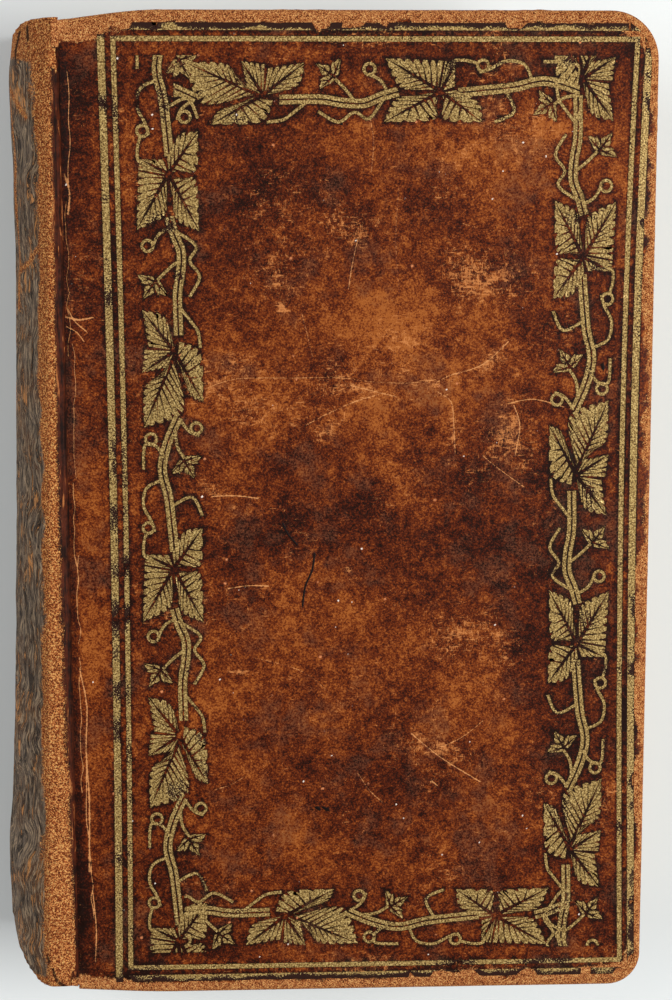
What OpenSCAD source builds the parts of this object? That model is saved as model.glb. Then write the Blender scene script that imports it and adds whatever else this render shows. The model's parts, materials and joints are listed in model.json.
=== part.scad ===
// Antique leather book: a tight-back calf binding sewn on four sawn-in cords,
// with laced boards, gilt double fillets and a gilt vine-leaf roll on both covers.
// Lengths are millimetres. X runs from the spine to the fore edge, Y from tail to head,
// and Z from the back cover up to the front cover. The origin is under the middle.

/* [Covers] */
// Height of the covers, head to tail
cover_h = 177; // [140:1:240]
// Width of a cover, joint to fore edge
cover_w = 104; // [85:1:150]
// Thickness of the pasteboards
board_t = 2.4; // [1.6:0.1:4]
// Thickness of the covering leather
leather_t = 0.7; // [0.5:0.05:1.2]
// Width of the leather turned in over the board edges
turn_in_w = 12; // [8:0.5:18]
// Thickness of the pared turn-ins
turn_in_t = 0.45; // [0.3:0.05:0.6]
// Radius of the worn corner at the head of the fore edge
head_corner_r = 8.5; // [4:0.5:12]
// Radius of the worn corner at the tail of the fore edge
tail_corner_r = 6; // [4:0.5:12]

/* [Text block] */
// Thickness of the sewn leaves
block_t = 24; // [18:0.5:40]
// How far the covers stand past the leaves at head, tail and fore edge
square_w = 3.6; // [3:0.1:5]
// Depth of the hollow along the fore edge
fore_hollow = 4.5; // [2:0.5:7]
// Thickness of a free endpaper
flyleaf_t = 0.25; // [0.15:0.05:0.5]
// Thickness of a pastedown
paper_t = 0.2; // [0.15:0.05:0.3]
// Leather left bare around a pastedown
pastedown_margin = 5; // [3:0.5:7]

/* [Spine] */
// Width of the joint ridge, from the hinge line to the start of the round
ridge_w = 4.4; // [4:0.1:6]
// How far the rounded back stands out past the ridges
round_depth = 6.7; // [5:0.1:9]
// Sideways lean of the back from tail to head, in degrees
spine_lean = 1.2; // [0:0.1:1.5]
// Thickness of the leather over the back
spine_leather_t = 0.8; // [0.6:0.05:1.2]
// Thickness of the paper and mull lining
lining_t = 0.5; // [0.3:0.05:0.8]
// How much lower the caps stand than the covers
cap_drop = 1.4; // [1:0.1:1.8]
// Radius of the worn spine corner at the head
head_cap_r = 6; // [5.5:0.5:9]
// Width of the worn spine corner at the head
head_cap_w = 5; // [3:0.5:5]
// Radius of the worn spine corner at the tail
tail_cap_r = 11; // [8:0.5:13]
// Width of the worn spine corner at the tail
tail_cap_w = 6; // [4:0.5:7]
// Radial width of the turned caps
cap_lip_w = 3.2; // [2.5:0.1:5]

/* [Sewing] */
// Number of sewing cords
cord_count = 4; // [3:1:6]
// Thickness of a sewing cord
cord_d = 1.5; // [1:0.1:2]
// Distance of the outer cords from the ends of the leaves
cord_end = 21.9; // [15:0.1:28]
// Width of a cord slip on the board
slip_w = 5; // [3:0.5:8]
// Length of a cord slip from the board edge
slip_l = 10; // [6:0.5:14]
// Thickness of a flattened cord slip
slip_t = 0.5; // [0.3:0.1:0.8]

/* [Gilt tooling] */
// Distance of the inner fillet from the fore edge
fillet_fore = 3.9; // [3.5:0.1:6]
// Distance of the inner fillet from head and tail
fillet_end = 5; // [4:0.1:7]
// Distance of the inner fillet from the hinge line
fillet_spine = 9.7; // [7:0.1:14]
// Width of the inner fillet line
inner_line_w = 0.9; // [0.4:0.1:1.2]
// Width of the outer fillet line
outer_line_w = 1.3; // [0.6:0.1:1.6]
// Distance between the middles of the two fillet lines
line_pitch = 2.1; // [1.6:0.1:2.4]
// Distance from the inner fillet to the middle of the vine roll
vine_inset = 8.9; // [8:0.1:14]
// Length of one turn of the vine roll
vine_pitch = 69.5; // [60:0.5:90]
// Number of veins cut into each half lobe of a leaf
leaf_veins = 1; // [1:1:3]
// Depth of the tooling in the leather
tool_depth = 0.15; // [0.1:0.05:0.3]
// Thickness of the gold at the foot of the tooling
gilt_t = 0.1; // [0.05:0.05:0.1]

/* [Fits] */
// Half of the slit that parts the leather along a hinge line
hinge_gap = 0.15; // [0.1:0.05:0.3]
// Depth of the crease along a joint
crease_d = 0.9; // [0.5:0.1:1.2]
// Half width of the crease along a joint
crease_w = 1.5; // [1.2:0.1:2]
// Distance from the crease to the board's back edge
board_setback = 0.2; // [0.1:0.1:1.5]
// Clearance between a pastedown and its free endpaper
leaf_gap = 0.15; // [0.1:0.05:0.4]
// Clearance between an endband and the cap over it
endband_gap = 0.1; // [0.05:0.05:0.3]
// Clearance around a sewing cord in its saw cut
kerf_gap = 0.1; // [0.05:0.05:0.3]
// Height of a cover's outer face over the ridges
ridge_drop = 0.15; // [0.1:0.05:0.4]

/* [Hidden] */
$fn = 96;

// Heights above the middle plane of the book, from the leaves out to the leather
block_top = block_t / 2;
flyleaf_top = block_top + flyleaf_t;
paper_low = flyleaf_top + leaf_gap;
turn_in_low = paper_low + paper_t;
board_low = turn_in_low + turn_in_t;
board_top = board_low + board_t;
skin_top = board_top + leather_t;

// Plan of the covers and of the back
cap_half_h = cover_h / 2 - cap_drop;
// Where along the spine a worn corner starts
function worn_start(r, w) = cap_half_h - sqrt(r * r - (r - w) * (r - w));
lean_reach = worn_start(tail_cap_r, tail_cap_w) * tan(spine_lean);
book_w = cover_w + ridge_w + round_depth + lean_reach;
fore_x = book_w / 2;
spine_x = -book_w / 2;
hinge_x = fore_x - cover_w;
ridge_x = hinge_x - ridge_w;

// How far inside the leather's faces the round of the back starts
round_start = 1;
// The round of the back: a circle through both ridges
ridge_z = skin_top - round_start;
back_r = (ridge_z * ridge_z + round_depth * round_depth) / (2 * round_depth);
back_x = ridge_x - round_depth + back_r;
ridge_top = skin_top - ridge_drop;
board_x0 = hinge_x + crease_w + board_setback;
block_half_h = cover_h / 2 - square_w;
block_fore_x = fore_x - square_w;
// Leather and lining between the outside of the back and the leaves
skin_in = spine_leather_t + lining_t;
block_back_r = back_r - skin_in;
// The caps stop at the text block's faces
cap_mouth_z = flyleaf_top;
far = 2 * (cover_h + cover_w);
eps = 0.01;

// Sewing
cord_pitch = 2 * (block_half_h - cord_end) / (cord_count - 1);
cord_ring_r = block_back_r - cord_d / 2 - kerf_gap;
cord_reach = asin((ridge_top - skin_in - cord_d) / cord_ring_r);
endband_d = square_w - cap_drop - spine_leather_t - endband_gap;
endband_r = block_back_r - endband_d / 2 - kerf_gap;
endband_reach = asin((block_top - endband_d) / endband_r);

// Tooling, measured from the middle of the fillet frame
frame_x0 = hinge_x + fillet_spine;
frame_x1 = fore_x - fillet_fore;
frame_half_w = (frame_x1 - frame_x0) / 2;
frame_half_h = cover_h / 2 - fillet_end;
frame_x = (frame_x0 + frame_x1) / 2;
vine_half_w = 5.6;
// From the inner fillet to the ends of the long strips
vine_end_gap = 2.8;
vine_side_x = frame_half_w - vine_inset;
vine_end_y = frame_half_h - vine_inset;
vine_long = frame_half_h - vine_end_gap;
vine_short = vine_side_x - vine_half_w;
weld = 0.001;
gilt_low = skin_top - tool_depth;
// Where a turn of the roll starts on each side and on each end of the cover
side_phase = [-60.6, -23.5];
end_phase = [-47.6, -11];

// One turn of the vine roll. u runs along the border and v towards the middle of the
// cover. A half lobe is [heart, tip, edge points from the sinus towards the tip].
LEAF_A = [
    [[0, 0], [-7.2, 5.2], [[-2.6, -0.2], [-6.6, 1.9]]],
    [[0, 0], [-7.2, 5.2], [[-0.5, 2.2], [-0.7, 4.9]]],
    [[0, 0], [9.9, 5.2], [[1.0, 2.2], [1.3, 4.8]]],
    [[0, 0], [9.9, 5.2], [[3.9, 0.7], [7.9, 1.3]]],
    [[0, 0], [9.7, -5.7], [[3.9, -0.3], [7.3, -0.9]]],
    [[0, 0], [9.7, -5.7], [[-0.4, -5.2]]],
    [[0, 0], [-2.5, -4.9], [[-2.4, -0.9]]],
    [[0, 0], [-2.5, -4.9], [[-0.7, -5.2]]]];
LEAF_B = [
    [[30.8, 0.6], [23.6, -4.9], [[28, 0.1], [24.6, -1.2]]],
    [[30.8, 0.6], [23.6, -4.9], [[29.9, -3.9]]],
    [[30.8, 0.6], [34.5, -5.1], [[30.5, -4.6]]],
    [[30.8, 0.6], [34.5, -5.1], [[33.6, -0.8]]],
    [[31.6, 0.6], [44.2, -4.9], [[35, -0.9], [37, -4.6]]],
    [[31.6, 0.6], [44.2, -4.9], [[34.8, 1.2], [41.6, 1.9]]],
    [[30.8, 0.6], [39.8, 5.6], [[34.4, 1.9], [38.6, 3.4]]],
    [[30.8, 0.6], [39.8, 5.6], [[29.1, 1.5], [31.2, 5.2]]]];
// A small leaf is [heart, direction of the middle lobe in degrees]
SMALL_LEAVES = [[[18.6, -2.6], -35], [[50.2, 2.1], 30]];
STEMS = [
    [[7.4, 0], [10.5, 0.9], [13.4, 2], [17, 1.9], [21, 1.3], [28, 1.4]],
    [[42.4, 1.2], [47, -0.8], [51.7, -1.8], [56.5, -0.8], [61, -0.3], [66.5, 0.2]]];
TENDRILS = [
    [[9.2, 0.3], [10.4, -1.8], [12.6, -3]],
    [[15, 1.6], [16.6, -0.4], [18.4, -2.2]],
    [[9.6, 0.6], [12.4, 4.6], [15, 3.5], [17.8, 5.2], [21.3, 3.4]],
    [[22.8, 1.4], [25.6, 3.6], [27.4, 4.8], [30.2, 5.2]],
    [[42.8, 1.4], [44.9, 3], [45.7, 4.8]],
    [[49.6, -1.4], [47.6, -2.8], [47.4, -4.8], [51.7, -5.1]],
    [[44.6, 0.6], [47.6, 0.9], [49.8, 2.2]],
    [[53.6, -1.8], [55.6, -4.4], [59.7, -3], [64.4, -4.9]],
    [[58.4, -0.3], [56.7, 3.4], [60.1, 5.2]]];
// Middles of the tendrils' small loops
LOOPS = [[12.4, -3.8], [44.4, 4.5], [46.3, -3.7]];
stem_line_w = 0.7;
stem_gap = 0.25;
tendril_w = 0.55;
loop_r = 1.2;
loop_sides = 6;
midrib_w = 0.4;
// Width of a midrib at its heart, as a share more than at its tip
midrib_taper = 1.1;
// Where along a lobe's length the gold starts
lobe_start = 0.12;
// Veins stand closer to the heart than the teeth do, by this share of a step
vein_lead = 0.6;
vein_w = 0.3;
vein_reach = 0.78;
tooth_depth = 0.12;
// A lobe shorter than this has no vein of its own
veined_lobe_l = 6;

function mix(a, b, t) = a + (b - a) * t;
function unit2(p) = p / norm(p);
function left_of(p) = [-p[1], p[0]];

// A point at share t along a run of points
function run_point(run, t) =
    let (last = len(run) - 1, i = min(floor(t * last), last - 1))
    mix(run[i], run[i + 1], t * last - i);

function run_side(run, shift) =
    let (last = len(run) - 1)
    [for (i = [0 : last])
        run[i] + shift * left_of(unit2(run[min(i + 1, last)] - run[max(i - 1, 0)]))];
function reversed(run) = [for (i = [len(run) - 1 : -1 : 0]) run[i]];

module stroke(run, width, shift = 0) {
    polygon(concat(run_side(run, shift + width / 2), reversed(run_side(run, shift - width / 2))));
}

// Half a lobe, with veins cut in from the midrib and teeth along its outer edge
module half_lobe(lobe) {
    heart = lobe[0];
    tip = lobe[1];
    rib_l = norm(tip - heart);
    along = (tip - heart) / rib_l;
    edge = concat(lobe[2], [tip]);
    veins = rib_l < veined_lobe_l ? 0 : leaf_veins;
    across = left_of(along) * sign(left_of(along) * (edge[0] - heart));
    function rib(t) = mix(heart, tip, t) + across * midrib_w * (midrib_taper - t);
    half_vein = vein_w / rib_l / 2;
    function teeth(k) =
        let (t = k / (veins + 1), e = run_point(edge, t))
        [mix(e, rib(t), tooth_depth), run_point(edge, t + 2 * half_vein)];
    function vein(k) =
        let (t = k / (veins + 1 + vein_lead), e = run_point(edge, k / (veins + 1)))
        [rib(t + half_vein), mix(rib(t), e, vein_reach), rib(t - half_vein)];
    polygon(concat([rib(lobe_start), edge[0]], [for (k = [1 : 1 : veins]) each teeth(k)], [tip],
        [for (k = [veins : -1 : 1]) each vein(k)]));
}

module small_leaf(leaf) {
    translate(leaf[0]) rotate(leaf[1]) polygon([[-0.7, 0], [-0.2, -1.1], [0.7, -3.1],
        [1.6, -1.9], [1.7, -0.9], [3.7, 0], [1.7, 0.9], [1.6, 1.9], [0.7, 3.1], [-0.2, 1.1]]);
}

module vine_turn() {
    for (lobe = concat(LEAF_A, LEAF_B)) half_lobe(lobe);
    for (leaf = SMALL_LEAVES) small_leaf(leaf);
    for (run = STEMS, side = [-1, 1])
        stroke(run, stem_line_w, side * (stem_line_w + stem_gap) / 2);
    for (run = TENDRILS) stroke(run, tendril_w);
    for (middle = LOOPS) translate(middle) difference() {
        circle(loop_r, $fn = loop_sides);
        circle(loop_r - tendril_w, $fn = loop_sides);
    }
}

// A straight stretch of the roll, from u0 to u1 along X. One of its turns starts at phase.
module vine_strip(u0, u1, phase) {
    first = floor((u0 - phase) / vine_pitch) - 1;
    last = ceil((u1 - phase) / vine_pitch);
    intersection() {
        for (k = [first : last]) translate([phase + k * vine_pitch, 0]) vine_turn();
        translate([u0, -vine_half_w]) square([u1 - u0, 2 * vine_half_w]);
    }
}

// The four stretches of the border, rolled round the cover against the clock. The offset
// only welds what touches into clean outlines.
module vine_plan() {
    offset(delta = weld) for (side = [0, 1]) rotate(180 * side) {
        translate([-vine_side_x, 0]) rotate(-90)
            vine_strip(-vine_long, vine_long, side_phase[side]);
        translate([0, -vine_end_y]) vine_strip(-vine_short, vine_short, end_phase[side]);
    }
}

// Two lines round the cover, the outer one wider
module fillet_plan() {
    for (line = [[0, inner_line_w], [line_pitch, outer_line_w]]) {
        half_w = frame_half_w + line[0];
        half_h = frame_half_h + line[0];
        difference() {
            square([2 * half_w + line[1], 2 * half_h + line[1]], center = true);
            square([2 * half_w - line[1], 2 * half_h - line[1]], center = true);
        }
    }
}

// What a round corner takes off a plan: middle of the round, outward direction, radius
module corner_waste(middle, outward, r) {
    reach = outward * (r + 1);
    translate(middle) difference() {
        polygon([[0, 0], [reach[0], 0], reach, [0, reach[1]]]);
        circle(r);
    }
}

// The covers' plan from x0 to the fore edge, drawn in from the leather's edge by inset
module cover_plan(x0, inset = 0) {
    half_h = cover_h / 2 - inset;
    difference() {
        translate([x0, -half_h]) square([fore_x - inset - x0, 2 * half_h]);
        for (worn = [[1, head_corner_r], [-1, tail_corner_r]])
            corner_waste([fore_x - worn[1], worn[0] * (cover_h / 2 - worn[1])], [1, worn[0]],
                worn[1] - inset);
    }
}

// Section of the rounded back, drawn in from the leather by inset, with X to the right
// and the middle plane of the book at zero. It is flat over both ridges.
module back_section(inset) {
    top = ridge_top - inset;
    intersection() {
        translate([back_x, 0]) circle(back_r - inset);
        translate([-far, -top]) square([2 * far, 2 * top]);
    }
}

// The back's section run from tail to head along the leaning spine
module back_run(inset, half_l = far) {
    rotate(-spine_lean) rotate([90, 0, 0]) linear_extrude(2 * half_l, center = true)
        back_section(inset);
}

// A slab seen from above, between two heights
module slab(z0, z1) {
    translate([0, 0, z0]) linear_extrude(z1 - z0) children();
}

// A section drawn in X and Z, run along Y
module run_y(length) {
    rotate([90, 0, 0]) linear_extrude(length, center = true) children();
}

// Everything from the hinge line to the spine
module spine_side(gap) {
    translate([hinge_x - gap - far, -far / 2, -far / 2]) cube(far);
}

// What the crease takes away on the spine side, drawn in by inset from the leather. Its
// slope runs on past the surface, as far above it as it goes below.
module crease_spine(inset) {
    top = ridge_top - inset;
    for (side = [0, 1]) mirror([0, 0, side]) run_y(far)
        polygon([[hinge_x - 2 * crease_w + hinge_gap, top + crease_d], [far, top + crease_d],
            [far, top - crease_d], [hinge_x - hinge_gap, top - crease_d]]);
}

// What the crease takes away on the cover side
module crease_cover(inset) {
    top = skin_top - inset;
    run_y(far) polygon([[hinge_x + 2 * crease_w - hinge_gap, top + crease_d],
        [hinge_x - far, top + crease_d], [hinge_x - far, top - crease_d],
        [hinge_x + hinge_gap, top - crease_d]]);
}

// Lifts what is built about the middle plane onto the ground plane
module lifted() {
    translate([0, 0, skin_top]) children();
}

// Shows a front piece as it is, or turned over as the back cover's piece
module turned(back) {
    lifted() mirror([0, 0, back ? 1 : 0]) children();
}

// The spine's plan, drawn in by inset, with the worn corners of its caps
module spine_plan(inset, half_h) {
    top = min(half_h, cap_half_h - inset);
    difference() {
        translate([spine_x + inset, -top]) square([book_w, 2 * top]);
        for (worn = [[1, head_cap_r, head_cap_w], [-1, tail_cap_r, tail_cap_w]])
            corner_waste([spine_x + worn[1], worn[0] * worn_start(worn[1], worn[2])],
                [-1, worn[0]], worn[1] - inset);
    }
}

// The round and the shoulders, drawn in by inset, out to the hinge lines or past them
module spine_solid(inset, half_h, past = 0) {
    difference() {
        intersection() {
            slab(-far, far) spine_plan(inset, half_h);
            back_run(inset);
            spine_side(hinge_gap - past);
        }
        crease_spine(inset);
    }
}

// Place of a cord along the spine
function cord_y(i) = (i - (cord_count + 1) / 2) * cord_pitch;

// Moves to the middle of the round at a place along the leaning spine, with the round's
// axis along Z
module at_back(y) {
    translate([back_x + y * tan(spine_lean), y, 0]) rotate([90, 0, 0]) children();
}

module saw_cut(i) {
    intersection() {
        at_back(cord_y(i)) linear_extrude(cord_d + 2 * kerf_gap, center = true) difference() {
            circle(back_r);
            circle(cord_ring_r - cord_d / 2 - kerf_gap);
        }
        spine_side(crease_w + kerf_gap);
    }
}

// A round cord lying on the back, reaching the same angle to both sides
module arc_cord(y, ring_r, reach, thick) {
    at_back(y) rotate(180 - reach) rotate_extrude(angle = 2 * reach) translate([ring_r, 0])
        circle(thick / 2, $fn = 32);
}

// Plan of the leaves in front of the shoulders, rooted in them and run out to x1
module leaf_plan(root, x1) {
    x0 = hinge_x - hinge_gap - root;
    translate([x0, -block_half_h]) square([x1 - x0, 2 * block_half_h]);
}

// The sewn leaves. The hollow trims their fore edge back to its place.
module text_block() {
    leaf_root = 0.5;
    fore_trim = 0.5;
    hollow_r = (block_top * block_top + fore_hollow * fore_hollow) / (2 * fore_hollow);
    color("wheat") lifted() difference() {
        union() {
            spine_solid(skin_in, block_half_h);
            slab(-block_top, block_top) leaf_plan(leaf_root, block_fore_x + fore_trim);
        }
        translate([block_fore_x + hollow_r - fore_hollow, 0]) run_y(far) circle(hollow_r);
        for (i = [1 : cord_count]) saw_cut(i);
    }
}

module flyleaf(back) {
    color("antiquewhite") turned(back) slab(block_top, flyleaf_top) leaf_plan(0, block_fore_x);
}

module spine_lining() {
    color("gainsboro") lifted() difference() {
        spine_solid(spine_leather_t, block_half_h);
        spine_solid(skin_in, far, hinge_gap);
    }
}

module sewing_cord(i) {
    color("tan") lifted() arc_cord(cord_y(i), cord_ring_r, cord_reach, cord_d);
}

// The band stuck on the head of the leaves. The tail's is lost with its worn cap.
module head_endband() {
    color("ivory") lifted()
        arc_cord(block_half_h + endband_d / 2, endband_r, endband_reach, endband_d);
}

// One skin over the back and both ridges, turned in over the endbands as caps
module spine_leather() {
    color("dimgray") lifted() difference() {
        spine_solid(0, cap_half_h);
        spine_solid(spine_leather_t, cap_half_h - spine_leather_t, hinge_gap);
        intersection() {
            back_run(cap_lip_w);
            slab(-far, far) spine_plan(0, far);
        }
        translate([hinge_x - hinge_gap - crease_w, -far, -cap_mouth_z])
            cube([far, 2 * far, 2 * cap_mouth_z]);
    }
}

// A frayed cord laced into a board: flat in its channel, through its hole, and flat inside
module cord_slip(i) {
    translate([board_x0, cord_y(i)]) {
        slab(board_top - slip_t, board_top) {
            translate([0, -slip_w / 2]) square([slip_l - slip_w / 2, slip_w]);
            translate([slip_l - slip_w / 2, 0]) circle(slip_w / 2);
        }
        translate([slip_l - slip_w / 2, 0]) {
            slab(board_low, board_top - slip_t / 2) circle(cord_d / 2);
            slab(board_low, board_low + slip_t) circle(slip_w / 2);
        }
    }
}

module board(back) {
    color("burlywood") turned(back) difference() {
        slab(board_low, board_top) cover_plan(board_x0, leather_t);
        for (i = [1 : cord_count]) cord_slip(i);
    }
}

module cord_slips(back) {
    color("tan") turned(back) for (i = [1 : cord_count]) cord_slip(i);
}

// The part of a cover's inner face that the turn-ins leave free
module turn_in_window(inset) {
    half_h = cover_h / 2 - turn_in_w - inset;
    translate([hinge_x - far, -half_h]) square([far + cover_w - turn_in_w - inset, 2 * half_h]);
}

// The border on a cover's outer face, the same way round on both covers
module tooled(back) {
    translate([frame_x, 0]) mirror([back ? 1 : 0, 0]) children();
}

// Leather over a board, let down into the crease and turned in round three edges
module cover_leather(back) {
    color("saddlebrown") turned(back) difference() {
        union() {
            slab(board_top, skin_top) cover_plan(hinge_x + hinge_gap);
            intersection() {
                run_y(cover_h) polygon([[hinge_x + hinge_gap, board_top - crease_d],
                    [hinge_x + crease_w, board_top], [hinge_x + crease_w, skin_top],
                    [hinge_x + hinge_gap, skin_top]]);
                slab(-far, far) cover_plan(hinge_x + hinge_gap);
            }
            slab(turn_in_low, board_top + leather_t / 2) difference() {
                cover_plan(board_x0);
                cover_plan(board_x0 - eps, leather_t);
            }
            slab(turn_in_low, board_low) difference() {
                cover_plan(board_x0);
                turn_in_window(0);
            }
        }
        crease_cover(0);
        slab(skin_top - tool_depth, far) tooled(back) {
            fillet_plan();
            vine_plan();
        }
    }
}

// Paper pasted over the board and the inner edges of the turn-ins
module pastedown(back) {
    half_h = cover_h / 2 - pastedown_margin;
    color("antiquewhite") turned(back) difference() {
        slab(paper_low, board_low) translate([board_x0, -half_h])
            square([fore_x - pastedown_margin - board_x0, 2 * half_h]);
        slab(turn_in_low, far) difference() {
            translate([-far, -far]) square(2 * far);
            turn_in_window(0);
        }
        slab(-far, board_low - paper_t) turn_in_window(paper_t);
    }
}

module gilt_fillets(back) {
    color("goldenrod") turned(back) slab(gilt_low, gilt_low + gilt_t) tooled(back) fillet_plan();
}

module vine_border(back) {
    color("goldenrod") turned(back) slab(gilt_low, gilt_low + gilt_t) tooled(back) vine_plan();
}

text_block();
flyleaf(false);  // front_flyleaf
flyleaf(true);  // back_flyleaf
spine_lining();
head_endband();
for (i = [1 : cord_count]) sewing_cord(i);
spine_leather();
for (back = [false, true]) {
    side = back ? "back" : "front";
    board(back);
    cord_slips(back);
    cover_leather(back);
    pastedown(back);
    gilt_fillets(back);
    vine_border(back);
}
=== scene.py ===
"""The looks of a worn calf-bound book with a gilt vine border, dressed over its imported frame.

Sizes inside the classes are millimetres, measured in the frame's own axes: X from the spine to
the fore edge, Y from tail to head, Z up. Each mesh is scaled to metres when it is finished.
"""
import json
import logging
import math
import random
from collections.abc import Callable, Iterable, Sequence
from dataclasses import dataclass
from enum import Enum
from functools import cached_property

import bmesh
import bpy
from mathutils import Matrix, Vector, noise
from mathutils.geometry import delaunay_2d_cdt
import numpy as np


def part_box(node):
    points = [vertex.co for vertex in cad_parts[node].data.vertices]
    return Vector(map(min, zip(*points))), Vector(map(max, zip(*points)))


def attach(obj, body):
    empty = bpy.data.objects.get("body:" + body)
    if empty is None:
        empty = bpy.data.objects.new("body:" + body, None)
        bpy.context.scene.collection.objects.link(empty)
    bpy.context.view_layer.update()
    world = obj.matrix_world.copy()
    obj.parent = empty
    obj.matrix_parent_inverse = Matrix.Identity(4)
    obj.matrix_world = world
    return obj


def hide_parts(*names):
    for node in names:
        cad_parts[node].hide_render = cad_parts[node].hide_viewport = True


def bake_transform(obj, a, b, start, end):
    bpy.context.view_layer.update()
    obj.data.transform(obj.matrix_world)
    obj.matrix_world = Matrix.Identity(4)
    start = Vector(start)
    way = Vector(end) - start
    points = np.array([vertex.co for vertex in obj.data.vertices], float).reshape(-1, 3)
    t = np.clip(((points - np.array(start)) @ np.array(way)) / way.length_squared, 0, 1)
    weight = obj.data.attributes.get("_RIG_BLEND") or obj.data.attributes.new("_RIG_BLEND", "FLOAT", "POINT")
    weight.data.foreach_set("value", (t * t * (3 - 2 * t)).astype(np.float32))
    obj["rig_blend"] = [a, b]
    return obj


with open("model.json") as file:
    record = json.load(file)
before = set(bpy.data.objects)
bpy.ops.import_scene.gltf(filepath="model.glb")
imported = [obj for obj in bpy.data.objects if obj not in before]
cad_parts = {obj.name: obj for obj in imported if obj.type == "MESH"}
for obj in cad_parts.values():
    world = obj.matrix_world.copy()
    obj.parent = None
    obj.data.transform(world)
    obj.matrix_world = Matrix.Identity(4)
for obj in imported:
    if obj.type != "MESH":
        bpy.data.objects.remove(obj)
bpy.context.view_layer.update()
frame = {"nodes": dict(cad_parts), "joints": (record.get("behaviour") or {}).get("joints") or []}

MM = 0.001
LOG = logging.getLogger("calf_book")
Point = tuple[float, float]
Triple = tuple[float, float, float]
Mesh = bmesh.types.BMesh
Vert = bmesh.types.BMVert
Edge = bmesh.types.BMEdge
Material = bpy.types.Material
Socket = bpy.types.NodeSocket
Sockets = dict[str, Socket]
# What a node's input takes, and what drawn nodes give back by socket
Value = float | tuple | Socket
Drawn = dict[str, Value]


class Side(Enum):
    """Which cover a piece belongs to."""

    FRONT = "front"
    BACK = "back"


class Zone(Enum):
    """What the plan of a cover's outer face is divided into."""

    LEATHER = 0
    FILLET = 1
    VINE = 2


# Curves and small sums


def mix(a: float, b: float, t: float) -> float:
    """Returns the value at share t from a to b."""
    return a + (b - a) * t


def clamp(value: float, low: float = 0.0, high: float = 1.0) -> float:
    """Returns value kept between low and high."""
    return max(low, min(high, value))


def smooth(low: float, high: float, value: float) -> float:
    """Returns a soft step from 0 at low to 1 at high."""
    t = clamp((value - low) / (high - low))
    return t * t * (3 - 2 * t)


def mix_point(a: Point, b: Point, t: float) -> Point:
    """Returns the point at share t from a to b."""
    return (mix(a[0], b[0], t), mix(a[1], b[1], t))


def ripple(x: float, y: float, z: float, size: float, octaves: int = 3) -> float:
    """Returns soft noise of about -1 to 1 whose lumps are size wide."""
    return noise.fractal(Vector((x, y, z)) / size, 1.0, 2.0, octaves, noise_basis="PERLIN_ORIGINAL")


def rounded(points: Sequence[Point], steps: int = 5) -> list[Point]:
    """Runs a smooth curve through a few points.

    Args:
        points: The points that the curve passes through.
        steps: How many short stretches replace each long one.

    Returns:
        The curve's points, from the first to the last.
    """
    run = [points[0], *points, points[-1]]
    out = []
    for a, b, c, d in zip(run, run[1:], run[2:], run[3:]):
        for step in range(steps):
            t = step / steps
            out.append(tuple(
                0.5 * (2 * q + (r - p) * t + (2 * p - 5 * q + 4 * r - s) * t * t
                       + (3 * q - p - 3 * r + s) * t ** 3)
                for p, q, r, s in zip(a, b, c, d)))
    out.append(tuple(points[-1]))
    return out


def band(points: Sequence[Point], width: float, shift: float = 0.0) -> list[Point]:
    """Outlines a line of constant width.

    Args:
        points: The middle of the line.
        width: The line's width.
        shift: How far the line lies to the left of its points.

    Returns:
        The outline, once round.
    """
    left, right = [], []
    last = len(points) - 1
    for i, (x, y) in enumerate(points):
        before, after = points[max(i - 1, 0)], points[min(i + 1, last)]
        dx, dy = after[0] - before[0], after[1] - before[1]
        length = math.hypot(dx, dy) or 1.0
        nx, ny = -dy / length, dx / length
        left.append((x + nx * (shift + width / 2), y + ny * (shift + width / 2)))
        right.append((x + nx * (shift - width / 2), y + ny * (shift - width / 2)))
    return left + right[::-1]


def to_segment(point: Point, start: Point, end: Point) -> float:
    """Returns how far a point lies from a straight stretch."""
    dx, dy = end[0] - start[0], end[1] - start[1]
    length = dx * dx + dy * dy or 1.0
    t = clamp(((point[0] - start[0]) * dx + (point[1] - start[1]) * dy) / length)
    return math.dist(point, mix_point(start, end, t))


def to_line(point: Point, line: Sequence[Point]) -> float:
    """Returns how far a point lies from a line of several stretches."""
    return min(to_segment(point, start, end) for start, end in zip(line, line[1:]))


def within(point: Vector, shape: Sequence[Point]) -> bool:
    """Says whether a point lies inside an outline."""
    inside = False
    x, y = point.x, point.y
    ax, ay = shape[-1]
    for bx, by in shape:
        if (ay > y) != (by > y) and x < (bx - ax) * (y - ay) / (by - ay) + ax:
            inside = not inside
        ax, ay = bx, by
    return inside


def trimmed(shape: Sequence[Point], axis: int, limit: float, hand: int) -> list[Point]:
    """Cuts an outline along a line.

    Args:
        shape: The outline.
        axis: 0 for an upright line, 1 for a level one.
        limit: Where the line lies.
        hand: 1 to keep what is above the limit, -1 to keep what is below it.

    Returns:
        The part that is kept.
    """
    out = []
    for a, b in zip(shape, [*shape[1:], *shape[:1]]):
        in_a, in_b = hand * (a[axis] - limit), hand * (b[axis] - limit)
        if in_a >= 0:
            out.append(a)
        if (in_a > 0) != (in_b > 0) and in_a != in_b:
            out.append(mix_point(a, b, in_a / (in_a - in_b)))
    return out


# The vine roll


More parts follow.
